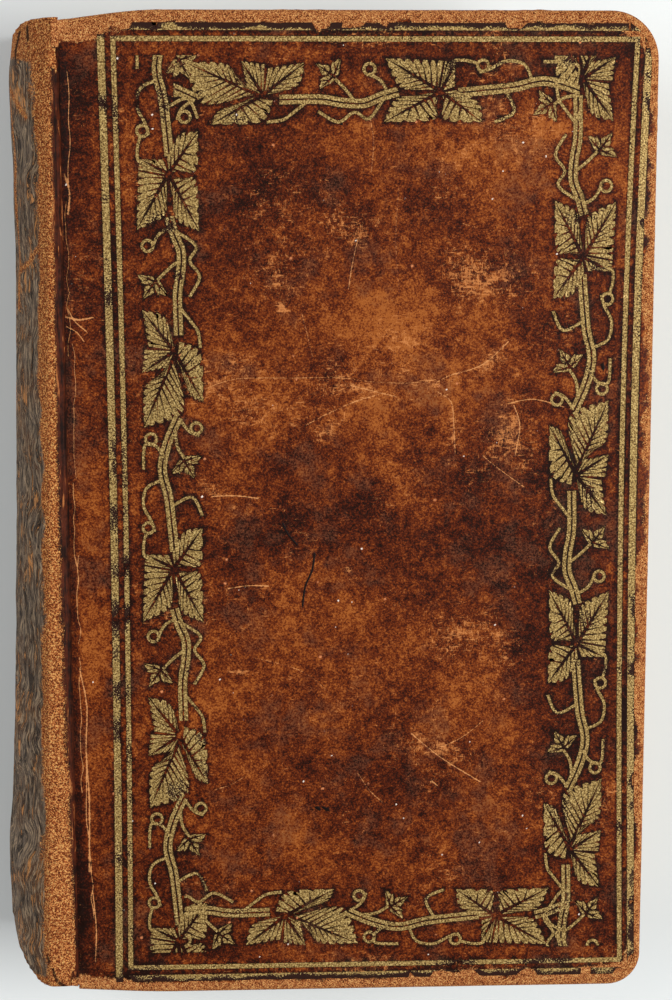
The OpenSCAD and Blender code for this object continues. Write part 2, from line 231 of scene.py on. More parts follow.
@dataclass(frozen=True)
class VineRoll:
    """One engraved roll: a vine that repeats along the border.

    Points are (u, v): u runs along the border and v towards the middle of the cover.
    """

    pitch: float = 69.5
    half_w: float = 5.6
    stem_w: float = 0.7
    stem_gap: float = 0.25
    tendril_w: float = 0.55
    loop_r: float = 1.25
    rib_w: float = 0.32
    vein_w: float = 0.4
    vein_reach: float = 0.92
    finger_l: float = 1.4

    # Each lobe is its heart, its tip and the margins of its two halves, from the sinus on
    leaves = (
        ((0, 0), (-7.2, 5.2), ((-2.6, -0.2), (-6.6, 1.9)), ((-0.5, 2.2), (-0.7, 4.9))),
        ((0, 0), (9.9, 5.2), ((1.0, 2.2), (1.3, 4.8)), ((3.9, 0.7), (7.9, 1.3))),
        ((0, 0), (9.7, -5.7), ((3.9, -0.3), (7.3, -0.9)), ((-0.4, -5.2),)),
        ((0, 0), (-2.5, -4.9), ((-2.4, -0.9),), ((-0.7, -5.2),)),
        ((30.8, 0.6), (23.6, -4.9), ((28, 0.1), (24.6, -1.2)), ((29.9, -3.9),)),
        ((30.8, 0.6), (34.5, -5.1), ((30.5, -4.6),), ((33.6, -0.8),)),
        ((31.6, 0.6), (44.2, -4.9), ((35, -0.9), (37, -4.6)), ((34.8, 1.2), (41.6, 1.9))),
        ((30.8, 0.6), (39.8, 5.6), ((34.4, 1.9), (38.6, 3.4)), ((29.1, 1.5), (31.2, 5.2))),
    )
    small_leaves = (((18.6, -2.6), -35), ((50.2, 2.1), 30))
    small_lobes = (
        ((0, 0), (3.7, 0), ((1.2, 0.5), (1.7, 0.95)), ((1.2, -0.5), (1.7, -0.95))),
        ((0, 0), (0.7, 3.1), ((1.0, 0.7), (1.6, 1.9)), ((-0.5, 0.6), (-0.2, 1.5))),
        ((0, 0), (0.7, -3.1), ((1.0, -0.7), (1.6, -1.9)), ((-0.5, -0.6), (-0.2, -1.5))),
    )
    stems = (
        ((7.4, 0), (10.5, 0.9), (13.4, 2), (17, 1.9), (21, 1.3), (28, 1.4)),
        ((42.4, 1.2), (47, -0.8), (51.7, -1.8), (56.5, -0.8), (61, -0.3), (66.5, 0.2)),
    )
    tendrils = (
        ((9.2, 0.3), (10.4, -1.8), (12.6, -3)),
        ((15, 1.6), (16.6, -0.4), (18.4, -2.2)),
        ((9.6, 0.6), (12.4, 4.6), (15, 3.5), (17.8, 5.2), (21.3, 3.4)),
        ((22.8, 1.4), (25.6, 3.6), (27.4, 4.8), (30.2, 5.2)),
        ((42.8, 1.4), (44.9, 3), (45.7, 4.8)),
        ((49.6, -1.4), (47.6, -2.8), (47.4, -4.8), (51.7, -5.1)),
        ((44.6, 0.6), (47.6, 0.9), (49.8, 2.2)),
        ((53.6, -1.8), (55.0, -4.6), (58.2, -5.2), (60.9, -3.9), (62.9, -3.3)),
        ((63.2, -4.8), (65.2, -5.3), (67.2, -5.2), (67.8, -4.0)),
        ((58.4, -0.3), (56.7, 3.4), (60.1, 5.2)),
    )
    loops = ((12.4, -3.8), (44.4, 4.3), (46.3, -3.7), (62.2, -4.4))

    def lobe(self, heart: Point, tip: Point, *margins: Sequence[Point]) -> list[list[Point]]:
        """Outlines both halves of a lobe."""
        return [self.half_lobe(heart, tip, margin) for margin in margins]

    def half_lobe(self, heart: Point, tip: Point, margin: Sequence[Point]) -> list[Point]:
        """Outlines half a lobe as a comb of pointed fingers, parted by tapering veins.

        Args:
            heart: Where the lobe's midrib starts.
            tip: Where it ends.
            margin: The lobe's outer edge, from the sinus towards the tip.

        Returns:
            The outline, once round.
        """
        length = math.dist(heart, tip)
        along = ((tip[0] - heart[0]) / length, (tip[1] - heart[1]) / length)
        left = (-along[1], along[0])
        first = margin[0]
        turn = 1 if left[0] * (first[0] - heart[0]) + left[1] * (first[1] - heart[1]) > 0 else -1
        across = (left[0] * turn, left[1] * turn)
        edge = rounded([*margin, tip], 8)
        veins = max(1, round(length / self.finger_l) - 1)
        half = self.vein_w / length / 2

        def rib(t: float) -> Point:
            x, y = mix_point(heart, tip, t)
            gap = self.rib_w * (1.15 - t) * min(1.0, length / 6)
            return (x + across[0] * gap, y + across[1] * gap)

        def at_edge(t: float) -> Point:
            place = clamp(t) * (len(edge) - 1)
            i = min(int(place), len(edge) - 2)
            return mix_point(edge[i], edge[i + 1], place - i)

        outline = [rib(0.07), at_edge(0)]
        for k in range(1, veins + 1):
            t = k / (veins + 1)
            outline += [at_edge(t - 0.5 / (veins + 1)), at_edge(t),
                        mix_point(at_edge(t + half), rib(t), 0.3)]
        outline += [at_edge(1 - 0.4 / (veins + 1)), at_edge(1)]
        for k in range(veins, 0, -1):
            t = 0.74 * k / (veins + 1)
            end = mix_point(rib(t), at_edge(k / (veins + 1) + half), self.vein_reach - 0.1 * (k % 2))
            outline += [rib(t + half), end, rib(t - half)]
        return outline

    def outlines(self) -> list[list[Point]]:
        """Returns the outlines of all that one turn of the roll prints."""
        shapes = [half for lobe in self.leaves for half in self.lobe(*lobe)]
        for (hx, hy), degrees in self.small_leaves:
            c, s = math.cos(math.radians(degrees)), math.sin(math.radians(degrees))
            shapes += [[(hx + c * x - s * y, hy + s * x + c * y) for x, y in half]
                       for lobe in self.small_lobes for half in self.lobe(*lobe)]
        for stem in self.stems:
            for hand in (-1, 1):
                shapes.append(band(rounded(stem), self.stem_w,
                                   hand * (self.stem_w + self.stem_gap) / 2))
        shapes += [band(rounded(tendril), self.tendril_w) for tendril in self.tendrils]
        shapes += [half for middle in self.loops for half in self.ring(middle)]
        return shapes

    def ring(self, middle: Point) -> list[list[Point]]:
        """Returns a tendril's small loop as two half rings round middle."""
        halves = []
        for start in (0.0, math.pi):
            arc = [start + math.pi * k / 8 for k in range(9)]
            run = [(self.loop_r, a) for a in arc]
            run += [(self.loop_r - self.tendril_w, a) for a in arc[::-1]]
            halves.append([(middle[0] + r * math.cos(a), middle[1] + r * math.sin(a)) for r, a in run])
        return halves


# The book's planes and edges


@dataclass(frozen=True)
class BookSizes:
    """The planes and edges that the pieces share, read from the frame, in millimetres."""

    hinge_x: float
    fore_x: float
    half_h: float
    thick: float
    board_x0: float
    board_top: float
    board_low: float
    turn_in_low: float
    frame_x: float
    frame_half_w: float
    frame_half_h: float
    spine_x: float
    cap_half_h: float

    @property
    def middle(self) -> float:
        """Height of the book's middle plane."""
        return self.thick / 2

    @property
    def leather_t(self) -> float:
        """Thickness of the covering leather."""
        return self.thick - self.board_top

    def crease_d(self, y: float) -> float:
        """Returns how deep the joint's crease is. Worn suede fills it at the head and the tail."""
        filled = max(smooth(9.0, 5.0, self.half_h - y), smooth(5.0, 2.0, self.half_h + y))
        return CREASE_D * (1 - 0.95 * filled)


# Widths of the fillet's two lines, and how far apart their middles lie
OUTER_LINE = 1.3
INNER_LINE = 0.9
LINE_PITCH = 2.1
# The gap between cover and book at the hinge line, and the crease on both sides of it
HINGE_GAP = 0.15
CREASE_D = 0.6
CREASE_W = 1.5
TURN_IN_W = 12.0
# How far apart the points of a cover's outline lie
OUTLINE_STEP = 0.8
# Points closer than this are one point
WELD = 0.0005
# How quickly a soft patch fades out with the square of the distance
FADE = 1.2
# What a bare layer says far inside the suede. Minus this is whole leather
FAR = 3.0
# How bare a point is where the covers' second material, with suede, takes over
SUEDE_FROM = -1.2


def measure() -> BookSizes:
    """Reads the book's sizes from the boxes of its solids."""

    def corners(node: str) -> tuple[Vector, Vector]:
        low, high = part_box(node)
        return low / MM, high / MM

    skin_low, skin_high = corners("front_cover_leather")
    board_low, board_high = corners("front_board")
    gilt_low, gilt_high = corners("front_gilt_fillets")
    spine_low, spine_high = corners("spine_leather")
    hinge = next(j for j in frame["joints"] if j["name"] == "front_cover_hinge")
    outside = LINE_PITCH + OUTER_LINE / 2
    return BookSizes(
        hinge_x=hinge["pos_m"][0] / MM, fore_x=skin_high.x, half_h=skin_high.y, thick=skin_high.z,
        board_x0=board_low.x, board_top=board_high.z, board_low=board_low.z, turn_in_low=skin_low.z,
        frame_x=(gilt_low.x + gilt_high.x) / 2,
        frame_half_w=(gilt_high.x - gilt_low.x) / 2 - outside,
        frame_half_h=gilt_high.y - outside,
        spine_x=spine_low.x, cap_half_h=spine_high.y)


# Meshes


def put_in(name: str, data: bpy.types.ID) -> bpy.types.Object:
    """Makes an object of some data and puts it in the scene."""
    thing = bpy.data.objects.new(name, data)
    bpy.context.scene.collection.objects.link(thing)
    return thing


def verts_of(made: Iterable[object]) -> list[Vert]:
    """Returns the vertices among what an operator has made."""
    return [item for item in made if isinstance(item, Vert)]


def close_up(mesh: Mesh) -> None:
    """Divides a closed mesh's large end faces and turns every face outward."""
    bmesh.ops.triangulate(mesh, faces=[face for face in mesh.faces if len(face.verts) > 4])
    bmesh.ops.recalc_face_normals(mesh, faces=mesh.faces)


def thicken(mesh: Mesh, thickness: float) -> None:
    """Gives an open sheet a thickness and turns every face outward."""
    bmesh.ops.solidify(mesh, geom=mesh.faces[:], thickness=thickness)
    bmesh.ops.recalc_face_normals(mesh, faces=mesh.faces)


def finished(mesh: Mesh, name: str, body: str, materials: Sequence[Material],
             replaces: Sequence[str] = (), sharp: float = 35.0) -> bpy.types.Object:
    """Turns a finished bmesh, in millimetres, into a piece of the book.

    Args:
        mesh: The bmesh. It is freed here.
        name: The piece's name.
        body: The body that it rides on.
        materials: Its materials, in the order of its faces' material numbers.
        replaces: The CAD nodes that it stands for.
        sharp: Edges that turn by more degrees than this stay sharp.

    Returns:
        The new object.
    """
    bmesh.ops.scale(mesh, vec=(MM, MM, MM), verts=mesh.verts)
    limit = math.radians(sharp)
    for face in mesh.faces:
        face.smooth = True
    for edge in mesh.edges:
        edge.smooth = len(edge.link_faces) != 2 or edge.calc_face_angle(0.0) < limit
    data = bpy.data.meshes.new(name)
    mesh.to_mesh(data)
    mesh.free()
    for material in materials:
        data.materials.append(material)
    piece = put_in(name, data)
    if body:
        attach(piece, body)
    if replaces:
        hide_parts(*replaces)
    LOG.info("%s: %d faces", name, len(data.polygons))
    return piece


def pushed(mesh: Mesh, edges: Iterable[Edge], place: Callable[[Vert], Triple],
           ) -> tuple[list[Edge], dict[Vert, Vert]]:
    """Extrudes a run of edges and puts each new vertex in its place.

    Args:
        mesh: The bmesh that is worked on.
        edges: The run of edges.
        place: Gives a new vertex's place from the vertex that it grew from.

    Returns:
        The new edges, and each new vertex with the one that it grew from.
    """
    edges = list(edges)
    old = {vert for edge in edges for vert in edge.verts}
    made = bmesh.ops.extrude_edge_only(mesh, edges=edges)["geom"]
    grown = {vert: next(edge.other_vert(vert) for edge in vert.link_edges
                        if edge.other_vert(vert) in old) for vert in verts_of(made)}
    for vert, parent in grown.items():
        vert.co = place(parent)
    run = [item for item in made if isinstance(item, Edge)
           and item.verts[0] in grown and item.verts[1] in grown]
    return run, grown


# The covers


@dataclass(frozen=True)
class Stain:
    """A soft patch in the leather: its middle, half sizes, strength and turn in degrees."""

    x: float
    y: float
    half_x: float
    half_y: float
    amount: float
    turn: float = 0.0

    def at(self, x: float, y: float) -> float:
        """Returns how strong the patch is at a point."""
        c, s = math.cos(math.radians(self.turn)), math.sin(math.radians(self.turn))
        dx, dy = x - self.x, y - self.y
        u = (c * dx + s * dy) / self.half_x
        v = (c * dy - s * dx) / self.half_y
        return self.amount * math.exp(-FADE * (u * u + v * v))


def total(patches: Iterable[Stain], x: float, y: float) -> float:
    """Returns how strong several patches are together at a point."""
    return sum(patch.at(x, y) for patch in patches)


@dataclass(frozen=True)
class Scratch:
    """A thin line scored into the leather. One of negative strength is a dark crack."""

    points: tuple[Point, ...]
    width: float
    amount: float = 1.0

    @cached_property
    def curve(self) -> list[Point]:
        """The line, run smoothly through its points."""
        return rounded(self.points, 4)

    def runs(self) -> list[list[Point]]:
        """Returns the lines that the mesh is divided along: the two sides and the middle."""
        edge = band(self.curve, 2 * self.width)
        half = len(edge) // 2
        return [edge[:half], self.curve, edge[half:]]

    def at(self, x: float, y: float) -> float:
        """Returns how strong the scratch is at a point, from 0 beside it to its amount."""
        low = [min(c) - self.width for c in zip(*self.points)]
        high = [max(c) + self.width for c in zip(*self.points)]
        if not (low[0] <= x <= high[0] and low[1] <= y <= high[1]):
            return 0.0
        return self.amount * clamp(1 - to_line((x, y), self.curve) / self.width)


@dataclass(frozen=True)
class Wear:
    """Where one cover's leather is dark, bright, scuffed, scratched or rubbed bare, with painted shade in
    its joint's crease.
    """

    # Soft patches of tone: stains of the leather, and at x = -45.2 painted shade along the joint's crease
    tones_and_crease_shade: tuple[Stain, ...]
    scuffs: tuple[Stain, ...]
    bares: tuple[Stain, ...]
    scratches: tuple[Scratch, ...]
    # Where the gold is rubbed away
    rubs: tuple[Stain, ...]
    seed: float = 3.0
    base_tone: float = 0.52
    # How wide the bare edge is along the ends and along the fore edge
    top_w: float = 2.4
    side_w: float = 1.5

    def tone(self, x: float, y: float) -> float:
        """Returns how bright the leather is, 0 to 1."""
        clouds = 0.2 * ripple(x, y, self.seed, 26, 4) + 0.26 * ripple(x, y, self.seed + 50, 8, 5)
        return self.base_tone + clouds + total(self.tones_and_crease_shade, x, y)

    def scuff(self, x: float, y: float) -> float:
        """Returns how much of the leather's face is rubbed away."""
        return total(self.scuffs, x, y) + 0.25 * ripple(x, y, self.seed + 20, 12, 4)

    def scratch(self, x: float, y: float) -> float:
        """Returns how deep the deepest scratch is."""
        return max((scratch.at(x, y) for scratch in self.scratches), key=abs, default=0.0)

    def bare(self, x: float, y: float, inside: float, on_end: bool) -> float:
        """Returns how far a point lies within the bare edge. Outside it is negative."""
        width = (self.top_w if on_end else self.side_w) + total(self.bares, x, y)
        rags = 1.5 * ripple(x, y, self.seed + 70, 9, 4) + 1.3 * ripple(x, y, self.seed + 90, 3.2, 4)
        return clamp(width + rags - inside, -FAR, FAR)


@dataclass(frozen=True)
class Plan:
    """The plan of a cover's outer face, divided along every line of the tooling."""

    coords: list[Point]
    triangles: list[tuple[int, ...]]
    zones: list[Zone]
    # The points along the cover's edge, by number
    path: list[int]


@dataclass
class Cover:
    """One cover: leather with its tooling pressed in, the gold in it, board, slips and paper."""

    side: Side
    sizes: BookSizes
    wear: Wear
    # How far apart the points that fill the plan lie
    grid_step: float
    roll: VineRoll = VineRoll()
    # Radii of the leather's upper and lower bends, and of the plan's corners
    edge_r: float = 0.9
    foot_r: float = 0.5
    head_r: float = 8.5
    tail_r: float = 6.0
    # How deep the tools are pressed in
    press_d: float = 0.13
    # How far the worn ends slope in at the joint, and where they start to
    head_slope: float = 2.4
    tail_slope: float = 1.1
    slope_x: tuple[float, float] = (-28.0, -54.0)
    gold_t: float = 0.07
    # How much darker the leather is in and beside the tooling: partly the hot tools' darkening, partly
    # painted shade in the grooves
    scorch_and_groove_shade: float = 0.5
    # The share of wear from which no gold is left
    gone: float = 0.72
    # How far the roll's middle lies inside the fillet, and how far short of it the roll ends
    side_inset: float = 8.9
    end_gap: float = 2.8
    # How far the roll's runs at the ends were struck over the runs at the sides
    overlap: float = 4.5
    # Where a turn of the roll starts on the sides and on the ends
    side_phase: tuple[float, float] = (-60.6, -23.5)
    end_phase: tuple[float, float] = (-47.6, -11.0)
    # How far the tooling stays from the face's edge
    tool_margin: float = 0.5
    # Where the hand-run fillets start to bow, off the frame's middle, and by how much
    bow_x: tuple[float, float] = (42.5, 44.5)
    spine_bow: float = 0.5
    head_bow: float = 0.3
    fore_bow: float = 1.35
    # How far the ragged edge's waves and crumbs stand out
    waves: float = 0.14
    crumbs: float = 0.07

    @property
    def body(self) -> str:
        """The body that the cover's pieces ride on."""
        return f"{self.side.value}_cover"

    def outline(self, offset: float) -> list[Point]:
        """Returns the cover's plan from the hinge at the head round to the hinge at the tail.

        Args:
            offset: How far outside the leather's edge it is drawn. Inside is negative.
        """
        s = self.sizes
        x0 = s.hinge_x + HINGE_GAP
        right = s.fore_x + offset
        points = [(x, self.end_y(x, 1) + offset) for x in self.steps(x0, s.fore_x - self.head_r)]
        points += self.corner(s.fore_x - self.head_r, s.half_h - self.head_r, self.head_r, offset, 90)
        points += [(right, y) for y in self.steps(s.half_h - self.head_r, self.tail_r - s.half_h)]
        points += self.corner(s.fore_x - self.tail_r, self.tail_r - s.half_h, self.tail_r, offset, 0)
        points += [(x, -self.end_y(x, -1) - offset) for x in self.steps(s.fore_x - self.tail_r, x0)]
        return points + [(x0, -self.end_y(x0, -1) - offset)]

    def end_y(self, x: float, end: float) -> float:
        """Returns how far the head, or the tail, lies from the middle: worn down at the joint."""
        drop = self.head_slope if end > 0 else self.tail_slope
        return self.sizes.half_h - drop * smooth(*self.slope_x, x)

    def on_end(self, x: float, y: float) -> bool:
        """Says whether a point lies nearer to the head or tail than to the fore edge."""
        return self.sizes.half_h - abs(y) < self.sizes.fore_x - x

    def steps(self, start: float, end: float, step: float = OUTLINE_STEP) -> list[float]:
        """Returns evenly spaced places from start to just before end."""
        count = max(2, round(abs(end - start) / step))
        return [mix(start, end, k / count) for k in range(count)]

    def corner(self, x: float, y: float, r: float, offset: float, start: float) -> list[Point]:
        """Returns a quarter round about (x, y), clockwise from start degrees."""
        count = round(r * math.pi / 2 / OUTLINE_STEP)
        angles = [math.radians(start - 90 * k / count) for k in range(count)]
        return [(x + (r + offset) * math.cos(a), y + (r + offset) * math.sin(a)) for a in angles]

    def hand_drift(self, x: float, y: float) -> Point:
        """Bows the long fillets a little, as a hand-run wheel does."""
        s = self.sizes
        dx = x - s.frame_x
        along = clamp(y / s.frame_half_h, -1.0, 1.0)
        bow = 1 - along * along
        near, far = self.bow_x
        left = smooth(-near, -far, dx) * (self.spine_bow * bow - self.head_bow * clamp(along))
        right = smooth(near, far, dx) * -self.fore_bow * bow * (1 + 0.3 * along)
        return (x + left + right, y)

    def kept_in(self, x: float, y: float) -> Point:
        """Holds a point of the tooling back from the ends and corners, where it is worn off."""
        s = self.sizes
        margin = self.edge_r + self.tool_margin
        last = self.end_y(x, y) - margin
        y = clamp(y, -last, last)
        r = self.head_r if y > 0 else self.tail_r
        dx, dy = x - (s.fore_x - r), abs(y) - (s.half_h - r)
        far, most = math.hypot(dx, dy), r - margin
        if dx <= 0 or dy <= 0 or far <= most:
            return (x, y)
        return (s.fore_x - r + dx * most / far, math.copysign(s.half_h - r + dy * most / far, y))

    def strips(self) -> list[tuple[Callable[[float, float], Point], float, float, float]]:
        """Returns each stretch of the border: its place on the cover, its ends and its phase."""
        s = self.sizes
        side_x, end_y = s.frame_half_w - self.side_inset, s.frame_half_h - self.side_inset
        long = s.frame_half_h - self.end_gap
        short = side_x - self.roll.half_w + self.overlap
        out = []
        for turn in (0, 1):
            hand = 1 - 2 * turn
            out.append((lambda u, v, h=hand: (h * (v - side_x), -h * u),
                        -long, long, self.side_phase[turn]))
            out.append((lambda u, v, h=hand: (h * u, h * (v - end_y)),
                        -short, short, self.end_phase[turn]))
        return out

    def tooling(self) -> list[tuple[Zone, list[Point]]]:
        """Returns the border's shapes: the zone and the outline of each."""
        s = self.sizes
        hand = -1 if self.side is Side.BACK else 1

        def placed(points: Iterable[Point]) -> list[Point]:
            return [self.kept_in(*self.hand_drift(s.frame_x + hand * x, y)) for x, y in points]

        shapes = []
        half = self.roll.half_w
        for place, low, high, phase in self.strips():
            for turn in range(math.floor((low - phase) / self.roll.pitch),
                              math.ceil((high - phase) / self.roll.pitch) + 1):
                shift = phase + turn * self.roll.pitch
                for shape in self.roll.outlines():
                    shape = [(u + shift, v) for u, v in shape]
                    for axis, limit, hand_in in ((0, low, 1), (0, high, -1), (1, -half, 1), (1, half, -1)):
                        shape = trimmed(shape, axis, limit, hand_in)
                    if shape:
                        shapes.append((Zone.VINE, placed(place(u, v) for u, v in shape)))
        for offset, width in ((0.0, INNER_LINE), (LINE_PITCH, OUTER_LINE)):
            shapes += [(Zone.FILLET, placed(self.dense(quad))) for quad in self.fillet(offset, width)]
        return shapes

    def fillet(self, offset: float, width: float) -> list[list[Point]]:
        """Returns the four runs of one fillet line about the frame's middle."""
        s = self.sizes
        w, h = s.frame_half_w + offset, s.frame_half_h + offset
        t = width / 2
        spans = (((-w - t, -w + t), (-h - t, h + t)), ((w - t, w + t), (-h - t, h + t)),
                 ((-w - t, w + t), (h - t, h + t)), ((-w - t, w + t), (-h - t, t - h)))
        return [[(x0, y0), (x1, y0), (x1, y1), (x0, y1)] for (x0, x1), (y0, y1) in spans]

    def dense(self, corners: Sequence[Point], step: float = 2.0) -> list[Point]:
        """Adds points along the long sides of an outline, so that it can bow."""
        out = []
        for a, b in zip(corners, [*corners[1:], corners[0]]):
            count = max(1, round(math.dist(a, b) / step))
            out += [mix_point(a, b, k / count) for k in range(count)]
        return out

    def build(self, looks: "Looks") -> None:
        """Builds and dresses the whole cover.

        Args:
            looks: The book's materials.
        """
        plan = self.divided_plan()
        self.leather(plan, looks)
        self.gold(plan, Zone.VINE, "vine_border", looks)
        self.gold(plan, Zone.FILLET, "gilt_fillets", looks)
        self.board(looks)
        dress_node(f"{self.side.value}_cord_slips", looks.hemp)
        dress_node(f"{self.side.value}_pastedown", looks.endpaper)

    def board(self, looks: "Looks") -> None:
        """Builds the pasteboard with the same worn ends as the leather over it."""
        s = self.sizes
        mesh = bmesh.new()
        rim = [(max(x, s.board_x0), y) for x, y in self.outline(-s.leather_t)]
        verts = [mesh.verts.new((x, y, s.board_low)) for x, y in rim]
        edges = [mesh.edges.new(pair) for pair in zip(verts, verts[1:] + verts[:1])]
        face = bmesh.ops.contextual_create(mesh, geom=edges)["faces"]
        made = bmesh.ops.extrude_face_region(mesh, geom=face)["geom"]
        bmesh.ops.translate(mesh, vec=(0, 0, s.board_top - s.board_low), verts=verts_of(made))
        bmesh.ops.remove_doubles(mesh, verts=mesh.verts, dist=WELD)
        close_up(mesh)
        self.turn_over(mesh)
        name = f"{self.side.value}_board"
        finished(mesh, f"{name}_worn", self.body, [looks.pasteboard], [name])

    def divided_plan(self) -> Plan:
        """Divides the plan of the outer face along every line of the tooling and the scratches."""
        points: list[Vector] = []
        edges: list[tuple[int, int]] = []

        def run(shape: Sequence[Point], closed: bool) -> list[int]:
            start = len(points)
            points.extend(Vector(p) for p in shape)
            row = list(range(start, len(points)))
            edges.extend(zip(row, row[1:] + (row[:1] if closed else [])))
            return row

        path = self.outline(-self.edge_r)
        x0, end = path[-1]
        hinge_line = [(x0, y) for y in self.steps(end, path[0][1])][1:]
        border = run(path + hinge_line, True)
        shapes = self.tooling()
        for _, shape in shapes:
            run(shape, True)
        for scratch in self.wear.scratches:
            for line in scratch.runs():
                run(line, False)
        points += self.filling()
        coords, _, triangles, sources, _, _ = delaunay_2d_cdt(points, edges, [border[::-1]], 1, 0.01, True)
        found = {source: i for i, many in enumerate(sources) for source in many}
        return Plan([tuple(c) for c in coords], [tuple(t) for t in triangles],
                    self.zones(coords, triangles, shapes), [found[i] for i in range(len(path))])

    def filling(self) -> list[Vector]:
        """Returns points that fill the plan evenly, closer together along the crease."""
        s = self.sizes
        dice = random.Random(11)
        out: list[Vector] = []
        crease = [s.hinge_x + HINGE_GAP + step for step in (0.4, 0.8, 1.2, 1.7, 2.4, 3.3)]
        least = self.edge_r + 0.45
        sway_x, sway_y = 0.05, 0.2
        rows = round(2 * s.half_h / self.grid_step)
        for row in range(rows + 1):
            y = mix(-s.half_h, s.half_h, row / rows)
            start = s.hinge_x + 4.5 + (row % 2) * self.grid_step / 2
            for x in crease + self.steps(start, s.fore_x, self.grid_step):
                spot = (x + dice.uniform(-sway_x, sway_x), y + dice.uniform(-sway_y, sway_y))
                if self.edge_distance(*spot) > least:
                    out.append(Vector(spot))
        return out

    def zones(self, coords: Sequence[Vector], triangles: Sequence[Sequence[int]],
              shapes: Sequence[tuple[Zone, list[Point]]]) -> list[Zone]:
        """Says for each triangle whether it is leather or lies under a line of the tooling."""
        cell = 4.0
        cells: dict[tuple[int, int], list[int]] = {}
        middles = []
        for i, (a, b, c) in enumerate(triangles):
            middle = (coords[a] + coords[b] + coords[c]) / 3
            middles.append(middle)
            cells.setdefault((int(middle.x // cell), int(middle.y // cell)), []).append(i)
        out = [Zone.LEATHER] * len(triangles)
        for zone, shape in shapes:
            xs, ys = [p[0] for p in shape], [p[1] for p in shape]
            for cx in range(int(min(xs) // cell), int(max(xs) // cell) + 1):
                for cy in range(int(min(ys) // cell), int(max(ys) // cell) + 1):
                    for i in cells.get((cx, cy), ()):
                        if out[i] is Zone.LEATHER and within(middles[i], shape):
                            out[i] = zone
        return out

    def edge_distance(self, x: float, y: float) -> float:
        """Returns how far a point of the plan lies inside the leather's edge."""
        s = self.sizes
        r = self.head_r if y > 0 else self.tail_r
        dx, dy = s.fore_x - x, self.end_y(x, y) - abs(y)
        if dx < r and dy < r:
            return r - math.hypot(r - dx, r - dy)
        return min(dx, dy)

    def crease(self, x: float, y: float) -> float:
        """Returns how deep the crease along the joint is at a point."""
        return self.sizes.crease_d(y) * (1 - smooth(HINGE_GAP, CREASE_W, x - self.sizes.hinge_x)) ** 1.5

    def relief(self, x: float, y: float) -> float:
        """Returns the height of the leather's face above its plane, worn down at the edges."""
        seed = self.wear.seed
        waves = 0.05 * ripple(x, y, seed, 24) + 0.022 * ripple(x, y, seed + 9, 5)
        worn = -0.16 * smooth(3.2, 0.6, self.edge_distance(x, y))
        return waves - 0.07 + worn - self.crease(x, y)

    def ragged(self, x: float, y: float) -> float:
        """Returns how far the scuffed edge stands out past its even line."""
        seed = 5.0 if self.side is Side.FRONT else 57.0
        return self.waves * ripple(x, y, seed, 7) + self.crumbs * ripple(x, y, seed + 20, 1.3) - 0.06

    def leather(self, plan: Plan, looks: "Looks") -> None:
        """Builds the covering leather: its face with the tooling, its edges and its turn-ins."""
        s = self.sizes
        mesh = bmesh.new()
        pressed = mesh.verts.layers.float.new("pressed")
        verts = [mesh.verts.new((x, y, s.thick)) for x, y in plan.coords]
        tooled = []
        for triangle, zone in zip(plan.triangles, plan.zones):
            face = mesh.faces.new([verts[i] for i in triangle])
            if zone is not Zone.LEATHER:
                tooled.append(face)
                for i in triangle:
                    verts[i][pressed] = 1.0
        self.wrap(mesh, [verts[i] for i in plan.path])
        tooled = [face for face in tooled if face.is_valid]
        floor = bmesh.ops.extrude_face_region(mesh, geom=tooled)["geom"]
        bmesh.ops.translate(mesh, vec=(0, 0, -self.press_d), verts=verts_of(floor))
        bmesh.ops.delete(mesh, geom=[face for face in tooled if face.is_valid], context="FACES_ONLY")
        face_low = s.thick - self.edge_r - 0.01
        for vert in mesh.verts:
            if vert.co.z > face_low:
                vert.co.z += self.relief(vert.co.x, vert.co.y)
        self.paint(mesh)
        self.turn_over(mesh)
        finished(mesh, f"{self.side.value}_leather", self.body, [looks.calf, looks.calf_edge],
                 [f"{self.side.value}_cover_leather"], 50)

    def rings(self) -> list[tuple[float, float, bool, bool]]:
        """Returns the leather's rings from the face's edge to the board's outer side.

        Each is an offset from the outline, a height, whether it starts at the board's spine edge
        and whether it is cut back to the window of the turn-ins.
        """
        s = self.sizes
        bend, foot, under = self.edge_r, self.foot_r, 3.0
        turns = [math.radians(22.5 * k) for k in range(1, 5)]
        high, low = s.thick - bend, s.turn_in_low + foot
        out = [(bend * (math.sin(a) - 1), s.thick - bend * (1 - math.cos(a)), False, False) for a in turns]
        out += [(0.0, mix(high, low, k / 3), k == 3, False) for k in (1, 2, 3)]
        out += [(-foot * (1 - math.cos(a)), low - foot * math.sin(a), True, False)
                for a in (math.radians(45), math.radians(90))]
        out += [(-under, s.turn_in_low, True, False), (0.0, s.turn_in_low, True, True),
                (0.0, s.board_low, True, True), (-s.leather_t, s.board_low, True, False),
                (-s.leather_t, s.board_top, False, False)]
        return out

    def wrap(self, mesh: Mesh, path: list[Vert]) -> None:
        """Carries the face's leather over the cover's edges and in under the board."""
        s = self.sizes
        window_x, window_y = s.fore_x - TURN_IN_W, s.half_h - TURN_IN_W
        # The ragged edge stands out away from a smaller plan, this far inside the leather's own
        inside = 9
        order = {vert: i for i, vert in enumerate(path) if vert.link_edges}
        met = list(order)
        edges = [mesh.edges.get(pair) for pair in zip(met, met[1:])]
        for offset, z, from_board, at_window in self.rings():
            outline = self.outline(offset)

